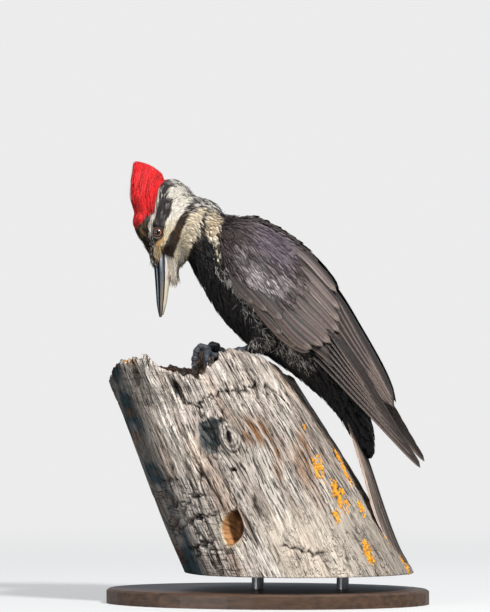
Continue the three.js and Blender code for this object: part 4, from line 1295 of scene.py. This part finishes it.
def makeEyes():
    board = Board("eyeBall", Roughness=0.2, Specular_IOR_Level=0.3, Coat_Weight=0.6, Coat_Roughness=0.03)
    ballLook = board.finish(board.attribute("tint", "Color"))
    bareLook = grainLook("eyeRing", 1400.0, 2.0, (1, 1, 1), (0.7, 0.6), (0.5, 0.2), 0.0003,
                         Specular_IOR_Level=0.4)
    turn = turns(48)
    tilt = np.radians(np.concatenate([np.linspace(1, 60, 60), np.linspace(63, 178, 24)]))
    angle = np.append(np.repeat(np.degrees(tilt), len(turn)), [0, 180])
    spin = np.append(np.tile(turn, len(tilt)), [0, 0])
    profile = np.array(eyes["lid"])
    for side, sign in (("left", -1), ("right", 1)):
        centre = np.array(plan["eye"]) * [1, sign, 1] * mm
        gaze = unit(np.array(plan["gaze"]) * [1, -sign, 1])
        upward = unit(np.array(eyes["upward"]) - gaze * np.dot(eyes["upward"], gaze))
        spoke = np.cos(turn)[:, None] * np.cross(gaze, upward) + np.sin(turn)[:, None] * upward
        swell = plan["eyeRadius"] * mm * (1 + 0.05 * hill(tilt, 0, 0.6))
        ball = eyeRings(centre, gaze, spoke, swell[:, None, None], tilt[:, None, None])
        points, quads, tris = loft(ball)
        settle(makePiece("eyeball_" + side, points, quads, tris, ballLook, eyeTint(angle, spin)), "eye",
               "eye_" + side)
        lean = np.radians(profile[:, :1]
                          * (1 + 0.07 * np.cos(2 * turn - 0.6) * ease(75, 55, profile[:, :1])))
        radius = (plan["eyeRadius"] + profile[:, 1:]
                  + 0.1 * np.sin(turn * 17)[None] * (profile[:, 1:] > 0.5)) * mm
        flat = eyeRings(centre, gaze, spoke, radius[..., None], lean[..., None]).reshape(-1, 3)
        fade = np.repeat(profile[:, 0], len(turn))
        ahead = np.tile((spoke * eyes["pale"]).sum(1), len(profile))
        pale = ease(-0.3, 0.6, ahead) * (0.4 * hill(fade, 54, 2) + hill(fade, 64, 3))
        pale = pale + 0.1 * hill(fade, 53, 2)
        tint = paint(eyes["shades"], "ringDark", ("ring", pale))
        quads = gridQuads(len(profile), len(turn), True, True)
        settle(makePiece("eye_ring_" + side, flat, quads, (), bareLook, tint), "scale")


makeEyes()


# Feet: scaled shanks and toes, two forward and two back, with strong curved claws.

foot = {
    "shank": [(-13.5, 33.5, 206.6, 3.6), (-21, 34, 206.4, 3.2), (-31, 34.4, 203.6, 2.5),
              (-41, 35, 202.4, 3.3)],
    "toes": [
        [(-38.5, 32.5, 199, 2.3), (-35, 27, 198.4, 2.3), (-32, 21.5, 195.6, 1.9)],
        [(-43, 32.5, 203.8, 2.8), (-46.6, 27, 208.2, 2.7), (-51, 23.5, 205.6, 2.5), (-53.2, 22, 198.6, 2.2)],
        [(-43.4, 35.6, 204, 3.1), (-46.6, 37, 209.6, 3), (-51.4, 38.6, 209, 2.7), (-54.2, 39.6, 201.6, 2.5),
         (-54.8, 40, 195, 2.2)],
        [(-41.6, 38, 203, 3), (-43, 45, 205.6, 2.7), (-42.6, 53, 203.6, 2.5), (-41.4, 59, 198.2, 2.2)],
    ],
    "claws": [
        [(-31.8, 20.8, 195.2, 1.6), (-29.6, 17.4, 192, 1.1), (-30, 15.8, 188.8, 0.3)],
        [(-53.4, 21.9, 198.0, 1.8), (-54.2, 21, 191.4, 1.3), (-51.6, 20.6, 186.4, 0.3)],
        [(-54.9, 40.1, 194.6, 1.9), (-55, 40.6, 187.6, 1.4), (-51.6, 41, 182.6, 0.3)],
        [(-41.3, 59.4, 197.6, 1.8), (-40.4, 61.6, 191.2, 1.3), (-40.8, 60, 186.2, 0.3)],
    ],
    "farShift": (-2, 1, 1), "scute": 2.1, "claw": (24, 22, 24),
    "shades": {"dark": (22, 24, 30), "light": (78, 80, 88)},
}


def limb(points, sign, steps, scutes):
    # a tapering limb; scutes overlap like tiles down its upper side
    points = np.array(points, float)
    if sign > 0:
        points[:, :3] += foot["farShift"]
    points[:, 1] *= sign
    t = np.linspace(0, 1, steps)
    line = track(points, t)
    side, up = pathFrames(line[:, :3])
    turn = turns(16)
    length = np.linalg.norm(np.diff(line[:, :3], axis=0), axis=1).sum()
    saw = (t * length / foot["scute"]) % 1.0
    radius = line[:, 3]
    if scutes:
        radius = radius * (1 + 0.1 * (saw - 0.4)) * (1 + 0.12 * np.cos(t * np.pi * 2 * len(points)))
    rings = line[:, None, :3] + radius[:, None, None] * (np.cos(turn)[None, :, None] * side[:, None]
                                                         + np.sin(turn)[None, :, None] * up[:, None])
    groove = np.append(np.repeat(ease(0.0, 0.25, saw), len(turn)), [1, 1])
    return loft(rings * mm), groove


def makeFeet():
    footLook = grainLook("footScale", 1600.0, 3.0, (1, 1, 1), (0.7, 0.6), (0.45, 0.2), 0.0003,
                         Specular_IOR_Level=0.45)
    clawLook = grainLook("clawHorn", 1800.0, 2.0, (1, 1, 0.3), (0.7, 0.7), (0.28, 0.2), 0.0001,
                         colour=foot["claw"], Coat_Weight=0.3, Coat_Roughness=0.2)
    for side, sign in (("left", -1), ("right", 1)):
        scaled = [("shank_", foot["shank"], "tarsus_")]
        for n, toe in enumerate(foot["toes"]):
            scaled.append(("digit_{}_".format(n + 1), toe, "toe_{}_".format(n + 1)))
        for name, points, node in scaled:
            made, groove = limb(points, sign, 90, True)
            tint = paint(foot["shades"], "dark", ("light", groove * 0.6))
            settle(makePiece(name + side, *made, footLook, tint), "scale", node + side)
        for n, claw in enumerate(foot["claws"]):
            made, _ = limb(claw, sign, 24, False)
            piece = makePiece("talon_{}_{}".format(n + 1, side), *made, clawLook)
            settle(piece, "claw", "claw_{}_{}".format(n + 1, side))


makeFeet()


# Perch: a weathered snag, leaning, split along the grain and broken off at the top.

perch = {
    "foot": 25.4, "axisX": 38.1, "lean": -0.505, "radius": 83.8, "taper": 0.1, "rim": 184,
    # peaks of the broken rim: bearing, rise, width; saddles in the top: x, y, rise, width
    "peaks": [(-127, 20, 15), (-153, 9, 11), (-104, 5, 9), (-62, 26, 17), (-32, 17, 19), (55, 15, 26),
              (118, 9, 30)],
    "saddles": [(-47, -36, 22, 11), (-48, 35, 22, 11), (-24, -36, 13, 16), (-22, 36, 13, 16),
                (-108, 0, 9, 30), (10, 0, -9, 26)],
    # the near side of the broken rim, bearing and height
    "brink": [(-175, 183), (-157, 188), (-143, 196), (-127, 201), (-112, 204.5), (-107, 196), (-102, 189.5),
              (-97, 191), (-92, 187.5), (-88, 190.5), (-85.5, 184.5), (-80, 188), (-72, 194.5), (-67, 198),
              (-61, 207.5), (-50, 208), (-40, 206), (-30, 203), (-24, 199), (-14, 193), (-7, 186), (2, 178)],
    "around": 580, "levels": 132, "topRings": 36,
    # how far the top reaches up to a toe, and the gaps left under toes and skin
    "toeReach": 14, "toeGap": 0.3, "skinGap": 1.0,
    # bearing and height of a feature, its half width, half height and lean
    "spots": {"knot": (-82, 138, 8.2, 15.5, -0.35), "pocket": (-93.5, 138.5, 9, 18.5, -0.62),
              "pinHole": (-89.3, 111.5, 2.6, 1.7, 0.2), "slit": (-83, 138, 2.2, 8, -0.3),
              # the rounded piece at the corner, painted paler as a lit face, and the hollows beside it,
              # painted dark as shade
              "chunk": (-113.4, 186, 7, 20, -0.18), "beside": (-126, 187, 4.5, 11, -0.3),
              "gap": (-100.5, 176, 4, 9, -0.1)},
    "hole": (-104.7, 65, 7.6, 20, -0.5),
    "stains": [(-66, 143, 16, 15, 0), (-62, 118, 4, 22, -0.4), (-44, 122, 8, 26, -0.4),
               (-124, 198, 5, 5, 0)],
    "lichen": [(-34, 90, 7, 15, -0.25), (-38, 113, 5, 13, -0.5), (-30, 147, 2.5, 3, 0),
               (-12, 110, 4, 20, -0.4), (-37, 44, 4, 12, -0.3), (-8, 66, 5, 20, -0.4), (-2, 40, 9, 16, -0.3),
               (-44, 74, 3, 7, -0.3), (-22, 78, 3, 9, -0.3), (-128, 200, 4, 4, 0), (70, 120, 9, 26, -0.3),
               (140, 90, 10, 18, 0.2)],
    # long checks across the grain, each a run of bearing and height
    "splits": [[(-101, 166), (-91, 162), (-88, 168), (-76, 173), (-63, 175.4), (-47, 179.5)],
               [(-150, 79), (-129, 84.4), (-113, 91)], [(-148, 60), (-137, 65.6), (-122, 73), (-110, 77)],
               [(-84, 52), (-76, 49), (-70, 44), (-62, 46)], [(-146, 99), (-136, 103), (-126, 104)],
               [(-144, 44), (-132, 50), (-118, 55)]],
    # colours of the wood; the blue-grey is painted shade on the left flank and beside the knot, the dark
    # brown painted shade inside the hole
    "shades": {"grey": (172, 157, 145), "light": (222, 210, 197), "brown": (142, 100, 66),
               "dark": (52, 45, 42), "cream": (204, 190, 172), "shade": (50, 66, 72),
               "hollow": (186, 134, 86), "hollowDark": (64, 36, 20), "rimWood": (232, 214, 184),
               "edge": (104, 78, 60), "lichen": (214, 150, 36)},
}
# millimetres of the surface per degree round the trunk, and along the grain per millimetre of height
perDegree = 1.36
perHeight = 1.12


def bearingGap(a, b):
    return (a - b + 540) % 360 - 180


def woodNoise(place, size, seed, stretch=(1, 1, 1)):
    return softNoise(place * stretch * mm, size, seed)


def streaks(place, width, stretch, seed):
    return woodNoise(place, width, seed, [1, 1, width / stretch])


def veins(noise, width):
    # 1 along the lines where a noise crosses its middle
    return np.exp(-((noise - 0.5) / width) ** 2)


def spot(bearing, z, place, pointed=False):
    # how far from a feature's middle each place is, in parts of its half width and half height
    where, level, wide, high, lean = place
    a = bearingGap(bearing, where) * perDegree
    b = (z - level) * perHeight
    c, s = math.cos(lean), math.sin(lean)
    across = (a * c + b * s) / wide
    along = (b * c - a * s) / high
    return np.abs(across) + along ** 2 if pointed else np.hypot(across, along)


def grainPlace(bearing, z):
    # each place as (round the trunk, round the trunk, along the fibres); fibres part round the knot
    knotBearing, knotLevel = perch["spots"]["knot"][:2]
    a = bearingGap(bearing, knotBearing) * perDegree
    b = (z - knotLevel) * perHeight
    part = 7.0 * np.exp(-(b / 24) ** 2 - np.abs(a) / 26) * a / (np.abs(a) + 2.5)
    turn = np.radians(bearing - part / perDegree)
    place = np.stack([np.cos(turn) * 78, np.sin(turn) * 78, z * math.hypot(1, perch["lean"])], -1)
    drift = (woodNoise(place, 26, 80, [1, 1, 0.22]) - 0.5) * 5
    sway = (woodNoise(place, 9, 79, [1, 1, 0.6]) - 0.5) * 1.2
    return place + np.stack([-np.sin(turn), np.cos(turn), 0 * turn], -1) * (drift + sway)[..., None]


def perchRelief(place):
    # height of the weathered surface in millimetres, and how deep in a crack each place is
    broad = (streaks(place, 15, 70, 81) - 0.5) * 2.2
    ribs = (streaks(place, 4.0, 40, 82) - 0.5) * 0.9
    fibres = (streaks(place, 1.9, 16, 83) - 0.5) * 1.3
    cracks = veins(streaks(place, 6.5, 75, 84), 0.018) * ease(0.44, 0.6, streaks(place, 14, 40, 85))
    fine = veins(streaks(place, 3.0, 30, 86), 0.03) * ease(0.42, 0.6, streaks(place, 9, 22, 87))
    return broad + ribs + fibres - 2.6 * cracks - 1.2 * fine, np.clip(cracks + 0.7 * fine, 0, 1)


def splitDepth(bearing, z):
    # how near each place is to one of the long checks, from 0 to 1
    depth = np.zeros(np.shape(z))
    wander = (woodNoise(np.stack([bearing * perDegree, z, 0 * z], -1), 3, 75) - 0.5) * 5
    for run in perch["splits"]:
        at, level = np.array(run, float).T
        inside = ease(at[0] - 2, at[0] + 3, bearing) * ease(at[-1] + 2, at[-1] - 3, bearing)
        depth = np.maximum(depth, inside * hill(z + wander, np.interp(bearing, at, level), 1.0))
    return depth


def rimHeight(turn, bearing):
    top = np.full_like(turn, perch["rim"])
    for at, rise, width in perch["peaks"]:
        top = top + rise * hill(bearingGap(bearing, at), 0, width)
    near = ease(-178, -165, bearing) * ease(8, -4, bearing)
    top = top * (1 - near) + np.interp(bearing, *np.array(perch["brink"]).T) * near
    circle = np.stack([np.cos(turn) * 80, np.sin(turn) * 80, 0 * turn], -1)
    return top + 3.4 * (woodNoise(circle, 2.2, 91) - 0.5) + 3.0 * (woodNoise(circle, 6, 92) - 0.5)


def brokenTop(rim):
    # rings of the top from the rim inward, hollowed, with saddles where the feet grip
    centre = np.array([perch["axisX"] + perch["lean"] * perch["rim"], 0.0])
    rings = []
    for inset in np.linspace(0.985, 0.02, perch["topRings"]):
        flat = centre + (rim[:, :2] - centre) * inset
        floor = np.full(len(flat), perch["rim"] - 6.0)
        for x, y, rise, width in perch["saddles"]:
            floor = floor + rise * np.exp(-(np.hypot(flat[:, 0] - x, flat[:, 1] - y) / width) ** 2)
        level = np.insert(flat, 2, 0, axis=1)
        floor = floor + 5 * (woodNoise(level, 2.4, 93) - 0.5) + 6 * (woodNoise(level, 7, 94) - 0.5)
        sag = ease(1.0, 0.8, inset)
        rings.append(np.insert(flat, 2, rim[:, 2] * (1 - sag) + floor * sag, axis=1))
    return clearOfBird(np.array(rings))


def clearOfBird(rings):
    # lowers the broken top where the bird's underside would sit in it, and brings it up under the toes
    toes = [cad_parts["toe_{}_{}".format(n, side)].data for n in (1, 2, 3, 4)
            for side in ("left", "right")]
    soles = [BVHTree.FromPolygons([v.co for v in toe.vertices], [p.vertices for p in toe.polygons])
             for toe in toes]
    flat = rings.reshape(-1, 3)
    for n, (x, y, z) in enumerate(flat):
        start = (x * mm, y * mm, 0.15)
        for sole in soles:
            hit = sole.ray_cast(start, (0, 0, 1))[0]
            if hit is not None and abs(hit[2] / mm - z) < perch["toeReach"]:
                z = hit[2] / mm - perch["toeGap"]
                flat[n, 2] = z
        hit = skinTree.ray_cast(start, (0, 0, 1))[0]
        if hit is not None:
            flat[n, 2] = min(z, hit[2] / mm - perch["skinGap"])
    return flat.reshape(rings.shape)


def makePerch():
    turn = turns(perch["around"])
    bearing = np.degrees(turn)
    bearing = np.where(bearing > 180, bearing - 360, bearing)
    rows = np.linspace(0, 1, perch["levels"])[:, None]
    z = perch["foot"] + (rimHeight(turn, bearing) - perch["foot"])[None] * rows
    spin = np.broadcast_to(turn[None], z.shape)
    angle = np.broadcast_to(bearing[None], z.shape)
    place = grainPlace(angle, z)
    grain, crack = perchRelief(place)
    at = {name: spot(angle, z, where) for name, where in perch["spots"].items()}
    at["pocket"] = at["pocket"] + 0.5 * (woodNoise(place, 6, 71) - 0.5)
    at["hole"] = spot(angle, z, perch["hole"], True)
    at["beside"] = np.minimum(at["beside"], at["gap"])
    # short checks on the worn front, smoother wood low down, and the left flank that is painted in shade
    wear = ease(-100, -118, angle) * ease(-172, -158, angle) * ease(108, 92, z)
    wear = wear * ease(0.36, 0.5, streaks(place, 14, 14, 89))
    wear = np.maximum(wear, ease(150, 162, z) * ease(-30, -50, angle) * 0.35 * (angle < 0))
    checks = veins(streaks(place * [0.22, 0.22, 1], 7, 7, 88), 0.035)
    wrapped = np.where(angle > 90, angle - 360, angle)
    dim = ease(-128, -142, wrapped) * ease(-214, -186, wrapped)
    papery = ease(95, 60, z) * ease(-98, -84, angle) * ease(10, -20, angle)
    papery = np.maximum(papery, 0.7 * dim * ease(190, 170, z))
    split = splitDepth(angle, z)

    relief = grain * (1 - 0.85 * ease(1.25, 0.8, at["hole"])) * (1 - 0.45 * papery) - 1.5 * checks * wear
    relief = relief + 8.5 * hill(at["knot"], 0, 0.95) - 6.0 * ease(1.1, 0.2, at["slit"])
    relief = relief + 1.3 * np.cos(at["knot"] * 16) * hill(at["knot"], 0.6, 0.4)
    relief = relief - 9.0 * ease(1.1, 0.3, at["pocket"]) * ease(0.35, 1.15, at["knot"])
    relief = relief * (1 - 0.7 * ease(1.1, 0.7, at["chunk"])) + 5.5 * ease(1.15, 0.2, at["chunk"])
    relief = relief - 6.0 * ease(1.1, 0.4, at["beside"]) - 2.4 * split - 15 * ease(1.02, 0.35, at["hole"])
    relief = relief + 1.2 * hill(at["hole"], 1.15, 0.15) - 5 * ease(1.1, 0.5, at["pinHole"])
    relief = relief * ease(0, 0.03, rows) - 2.0 * ease(0.985, 1.0, rows)
    flutes = 1 + 0.012 * np.sin(3 * spin + z / 40) + 0.008 * np.sin(7 * spin - z / 25)
    radius = (perch["radius"] - perch["taper"] * (z - perch["foot"])) * flutes + relief
    x = perch["axisX"] + perch["lean"] * z + np.cos(spin) * radius * math.hypot(1, perch["lean"])
    side = np.stack([x, np.sin(spin) * radius, z], -1)
    crown = brokenTop(side[-1])
    side[-1, :, 2] = np.maximum(side[-1, :, 2], crown[0, :, 2] - 0.5)
    points, quads, tris = loft(np.concatenate([side, crown]) * mm)

    wood, lichen = sideColours(side, angle, z, place, at, grain, crack, dim, papery, split, checks * wear)
    c = crown.reshape(-1, 3)
    spare = np.zeros(len(c) + 2)
    strew = np.concatenate([lichen, spare])
    # painted shade on the top of the snag under the toes
    underToeShade = np.exp(-((c[:, 0] + 48) / 11) ** 2) * ease(62, 50, np.abs(c[:, 1])) * ease(186, 194, c[:, 2])
    end = paint(perch["shades"], "grey", ("brown", woodNoise(c, 6, 96) * 0.8),
                ("dark", ease(0.5, 0.75, woodNoise(c, 2.2, 97, [1, 1, 0.2])) * 0.8),
                ("dark", underToeShade * 0.75))
    tint = paint(perch["shades"], np.concatenate([wood, end, wood[:1], end[-1:]]),
                 ("lichen", ease(0.2, 0.8, strew) * 0.85))
    piece = makePiece("snag", points, quads, tris, woodLook(), tint)
    g = place.reshape(-1, 3)
    calm = np.maximum(papery, ease(1.2, 0.9, at["hole"]) * 0.8)
    addLayer(piece.data, "grain", "FLOAT_VECTOR", "vector", np.concatenate([g, c, g[:1], c[-1:]]) * mm)
    addLayer(piece.data, "strew", "FLOAT", "value", strew)
    addLayer(piece.data, "papery", "FLOAT", "value", np.append(calm, spare))
    addLayer(piece.data, "worn", "FLOAT", "value", np.append(wear, spare))
    print("perch", 2 * len(quads) + len(tris), "triangles")
    return settle(piece, "wood", "perch")


def sideColours(side, angle, z, place, at, grain, crack, dim, papery, split, checks):
    # the colour of each point of the trunk's side, with painted light and shade, and how thickly lichen
    # grows there
    a, h, grain, crack, dim, papery, split, checks = [
        one.ravel() for one in (angle, z, grain, crack, dim, papery, split, checks)]
    at = {name: one.ravel() for name, one in at.items()}
    q = side.reshape(-1, 3)
    g = place.reshape(-1, 3)
    palette = perch["shades"]
    front = a > -110
    tone = 0.5 * streaks(g, 2.2, 24, 90) + 0.5 * streaks(g, 6.0, 50, 74)
    stained = 0.3 + 0.7 * ease(0.4, 0.56, streaks(g, 1.9, 24, 98))
    wood = paint(palette, "grey", ("light", ease(0.2, 0.8, tone)),
                 ("brown", ease(0.5, 0.8, woodNoise(g, 15, 95, [1, 1, 0.35])) * 0.35),
                 *[("brown", ease(1.4, 0.4, spot(a, h, stain)) * stained) for stain in perch["stains"]],
                 ("cream", papery * 0.7 * front))
    wood = wood * (1 - 0.16 * papery * front)[:, None]
    # painted shade: a dark blue-grey band down the left flank
    wood = paint(palette, wood, ("shade", dim * (0.7 + 0.3 * ease(0.35, 0.6, woodNoise(g, 20, 99)))))
    # painted light and shade: lighter in patches across the front and on the upper trunk, where the lamps
    # leave the wood too dark, and darker low on the right, where the key lamp falls full
    lift = 0.3 * hill(a, -112, 14) * ease(190, 150, h) + 0.3 * ease(140, 175, h) * ease(-120, -108, a)
    lift = lift + 0.3 * hill(a, -104, 12) * hill(h, 138, 30) + 0.25 * hill(a, -72, 14) * ease(90, 70, h)
    lift = lift - 0.3 * ease(-66, -44, a) * ease(80, 60, h)
    wood = wood * (1 + lift[:, None])
    # painted light on the rounded piece at the corner, as a lit face, and painted shade in the hollows
    # beside it
    wood = paint(palette, wood, ("light", ease(1.05, 0.8, at["chunk"]) * 0.9),
                 ("dark", ease(1.1, 0.7, at["beside"]) * (0.35 + 0.5 * woodNoise(g, 2, 73))),
                 ("edge", ease(0.5, 0.75, woodNoise(g, 11, 78)) * ease(0.6, 1.0, dim) * 0.6))
    # painted shade and light: wood lying lower in the relief darker, raised wood lighter
    wood = wood * (1 + 0.13 * grain[:, None].clip(-2, 2))
    besideHole = bearingGap(a, perch["hole"][0])
    # painted shade: the inside of the hole darker towards its lower right
    deep = ease(-3, 5, besideHole * 1.1 - (h - perch["hole"][1]) * 0.35 + 3 * woodNoise(q, 3, 77))
    # painted shade: the hollow beside the knot darkened blue-grey
    pocketShade = ease(1.1, 0.95, at["pocket"]) * ease(0.95, 1.05, at["knot"])
    pale = np.maximum(ease(2, -4, besideHole), ease(60, 50, h))
    # the cracks, checks and long splits darkened, partly the darker wood inside them and partly painted
    # shade; the slit in the knot and the pin hole are painted dark as shade
    wood = paint(
        palette, wood, ("dark", crack * 0.85), ("dark", checks * 0.9), ("dark", np.minimum(1, split * 1.3)),
        ("shade", pocketShade * (0.7 + 0.3 * woodNoise(g, 2, 72))),
        ("light", ease(1.15, 0.95, at["knot"]) * 0.6),
        ("dark", (0.5 + 0.5 * np.cos(at["knot"] * 21)) * ease(1.1, 0.9, at["knot"]) * 0.55),
        ("dark", ease(1.2, 0.6, at["slit"]) * 0.9),
        ("rimWood", ease(1.65, 1.1, at["hole"]) * pale * 0.9),
        ("hollow", ease(1.05, 0.9, at["hole"])), ("hollowDark", ease(1.02, 0.8, at["hole"]) * deep),
        ("dark", ease(1.1, 0.5, at["pinHole"]) * 0.95))
    lichen = np.max([ease(1.3, 0.2, spot(a, h, one)) for one in perch["lichen"]], 0)
    return wood, lichen * ease(0.36, 0.5, woodNoise(q, 2.6, 76))


def woodLook():
    # grey fibres with dark dashes between them, long cracks, and short checks across the grain
    board = Board("weatheredWood", Specular_IOR_Level=0.2)
    grain = board.attribute("grain", "Vector")

    def along(size, ratio, detail=3.0):
        return board.noise(board.scaled(grain, (1, 1, ratio)), 1 / (size * mm), detail, 0.6)

    fibre = along(0.75, 0.08, 2.0).step(0.34, 0.62)
    band = along(2.2, 0.06).step(0.34, 0.66)
    dash = along(1.35, 0.09, 2.0).step(0.565, 0.62)
    crack = (along(5.0, 0.05, 4.0) - 0.5).near(0.002, 0.018)
    crack = crack + (along(2.4, 0.07, 3.0) - 0.5).near(0.0, 0.02) * along(9.0, 0.3, 2.0).step(0.5, 0.6)
    vein = (along(5.5, 0.7, 5.0) - 0.5).near(0.002, 0.014) * along(14.0, 0.5, 2.0).step(0.48, 0.56)
    check = board.noise(board.scaled(grain, (0.2, 0.2, 1.15)), 190.0, 1.5, 0.5) - 0.5
    check = check.near(0.004, 0.022) * board.attribute("worn")
    calm = board.attribute("papery")
    loud = 1.0 - 0.6 * calm
    mottle = board.noise(board.coords(), 1100.0, 3.0, 0.7)
    tone = 1.28 - loud * (0.5 - 0.5 * fibre) - loud * (0.1 - 0.14 * band) + (mottle - 0.5) * 1.1
    # the cracks, checks and veins darkened, partly the darker wood inside them and partly painted shade
    tone = tone * (1.0 - 0.82 * loud * dash) * (1.0 - 0.75 * crack.step(0.0, 1.0) * loud)
    tone = tone * (1.0 - 0.75 * check) * (1.0 - 0.7 * vein * calm)
    height = loud * (0.5 * fibre + 0.4 * band - 0.5 * dash) - crack * loud - check
    height = height - vein * calm + 0.5 * mottle
    return board.finish(board.gain(board.attribute("tint", "Color"), tone), 0.78 + 0.15 * fibre, height,
                        0.0011)


# Lichen: crumbs strewn over the snag.

lichenCrumbs = {
    "density": 1.5e6, "smallest": 0.0003, "largest": 0.0013, "flat": 0.5, "shade": (246, 172, 36),
    "shadeDark": (190, 122, 26),
}


def strewBits(base, name, settings, material):
    # small rounded bits strewn where the surface's "strew" attribute is high, by Geometry Nodes
    tree = bpy.data.node_groups.new(name, "GeometryNodeTree")
    tree.interface.new_socket("Surface", in_out="INPUT", socket_type="NodeSocketGeometry")
    sockets = {}
    for label in ("Density", "Smallest", "Largest"):
        socket = tree.interface.new_socket(label, in_out="INPUT", socket_type="NodeSocketFloat")
        sockets[label] = socket.identifier
    tree.interface.new_socket("Bits", in_out="OUTPUT", socket_type="NodeSocketGeometry")

    def node(kind, inputs):
        made = tree.nodes.new(kind)
        for key, value in inputs.items():
            if isinstance(value, bpy.types.NodeSocket):
                tree.links.new(value, made.inputs[key])
            else:
                made.inputs[key].default_value = value
        return made.outputs

    def times(a, b):
        made = node("ShaderNodeMath", {0: a, 1: b})[0]
        made.node.operation = "MULTIPLY"
        return made

    source = tree.nodes.new("NodeGroupInput").outputs
    mask = node("GeometryNodeInputNamedAttribute", {"Name": "strew"})["Attribute"]
    dots = node("GeometryNodeDistributePointsOnFaces",
                {"Mesh": source["Surface"], "Density": times(mask, source["Density"]), "Seed": 4})
    bit = node("GeometryNodeMeshIcoSphere", {"Radius": 1.0, "Subdivisions": 1})["Mesh"]
    size = node("FunctionNodeRandomValue", {"Seed": 5, 2: source["Smallest"], 3: source["Largest"]})[1]
    squash = node("ShaderNodeCombineXYZ", {"X": size, "Y": size, "Z": times(size, settings["flat"])})[0]
    strewn = node("GeometryNodeInstanceOnPoints",
                  {"Points": dots["Points"], "Instance": bit, "Rotation": dots["Rotation"], "Scale": squash})
    real = node("GeometryNodeRealizeInstances", {"Geometry": strewn["Instances"]})
    painted = node("GeometryNodeSetMaterial", {"Geometry": real["Geometry"], "Material": material})
    node("NodeGroupOutput", {"Bits": painted["Geometry"]})
    carrier = addObject(name + "_carrier", base.data)
    modifier = carrier.modifiers.new("strew", "NODES")
    modifier.node_group = tree
    for label, key in sockets.items():
        modifier[key] = settings[label.lower()]
    mesh = bake(carrier)
    print(name, len(mesh.polygons), "triangles")
    return addObject(name, mesh)


def makeLichen():
    board = Board("lichenCrust", Roughness=0.85)
    blotch = board.noise(board.coords(), 420.0, 3.0)
    look = board.finish(board.mix(linear(lichenCrumbs["shadeDark"]), linear(lichenCrumbs["shade"]),
                                  blotch.step(0.35, 0.6)), None, blotch, 0.0003)
    settle(strewBits(snag, "lichen", lichenCrumbs, look), "wood")


snag = makePerch()
makeLichen()


# Stand: the base and rods are the frame's own parts, only given their finish.

stand = {"woodDark": (58, 40, 28), "wood": (92, 66, 46), "steel": (150, 150, 152)}


def dressStand():
    board = Board("standBase", Coat_Weight=0.25, Coat_Roughness=0.3)
    grain = board.noise(board.coords((0.08, 1, 1)), 260.0, 5.0, 0.6)
    fine = board.noise(board.coords((0.04, 1, 1)), 1400.0, 2.0)
    shade = board.mix(linear(stand["woodDark"]), linear(stand["wood"]), grain.step(0.3, 0.7))
    base = board.finish(board.gain(shade, 0.85 + 0.3 * fine), 0.38 + 0.15 * fine, fine, 0.00008, 0.5)
    steel = grainLook("standSteel", 1600.0, 2.0, (1, 1, 0.03), (0.85, 0.3), (0.3, 0.15), 0.00004,
                      colour=stand["steel"], Metallic=1.0)
    for name, material in (("stand_base", base), ("stand_rod_1", steel), ("stand_rod_2", steel)):
        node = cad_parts[name]
        node.data.materials.clear()
        node.data.materials.append(material)


dressStand()
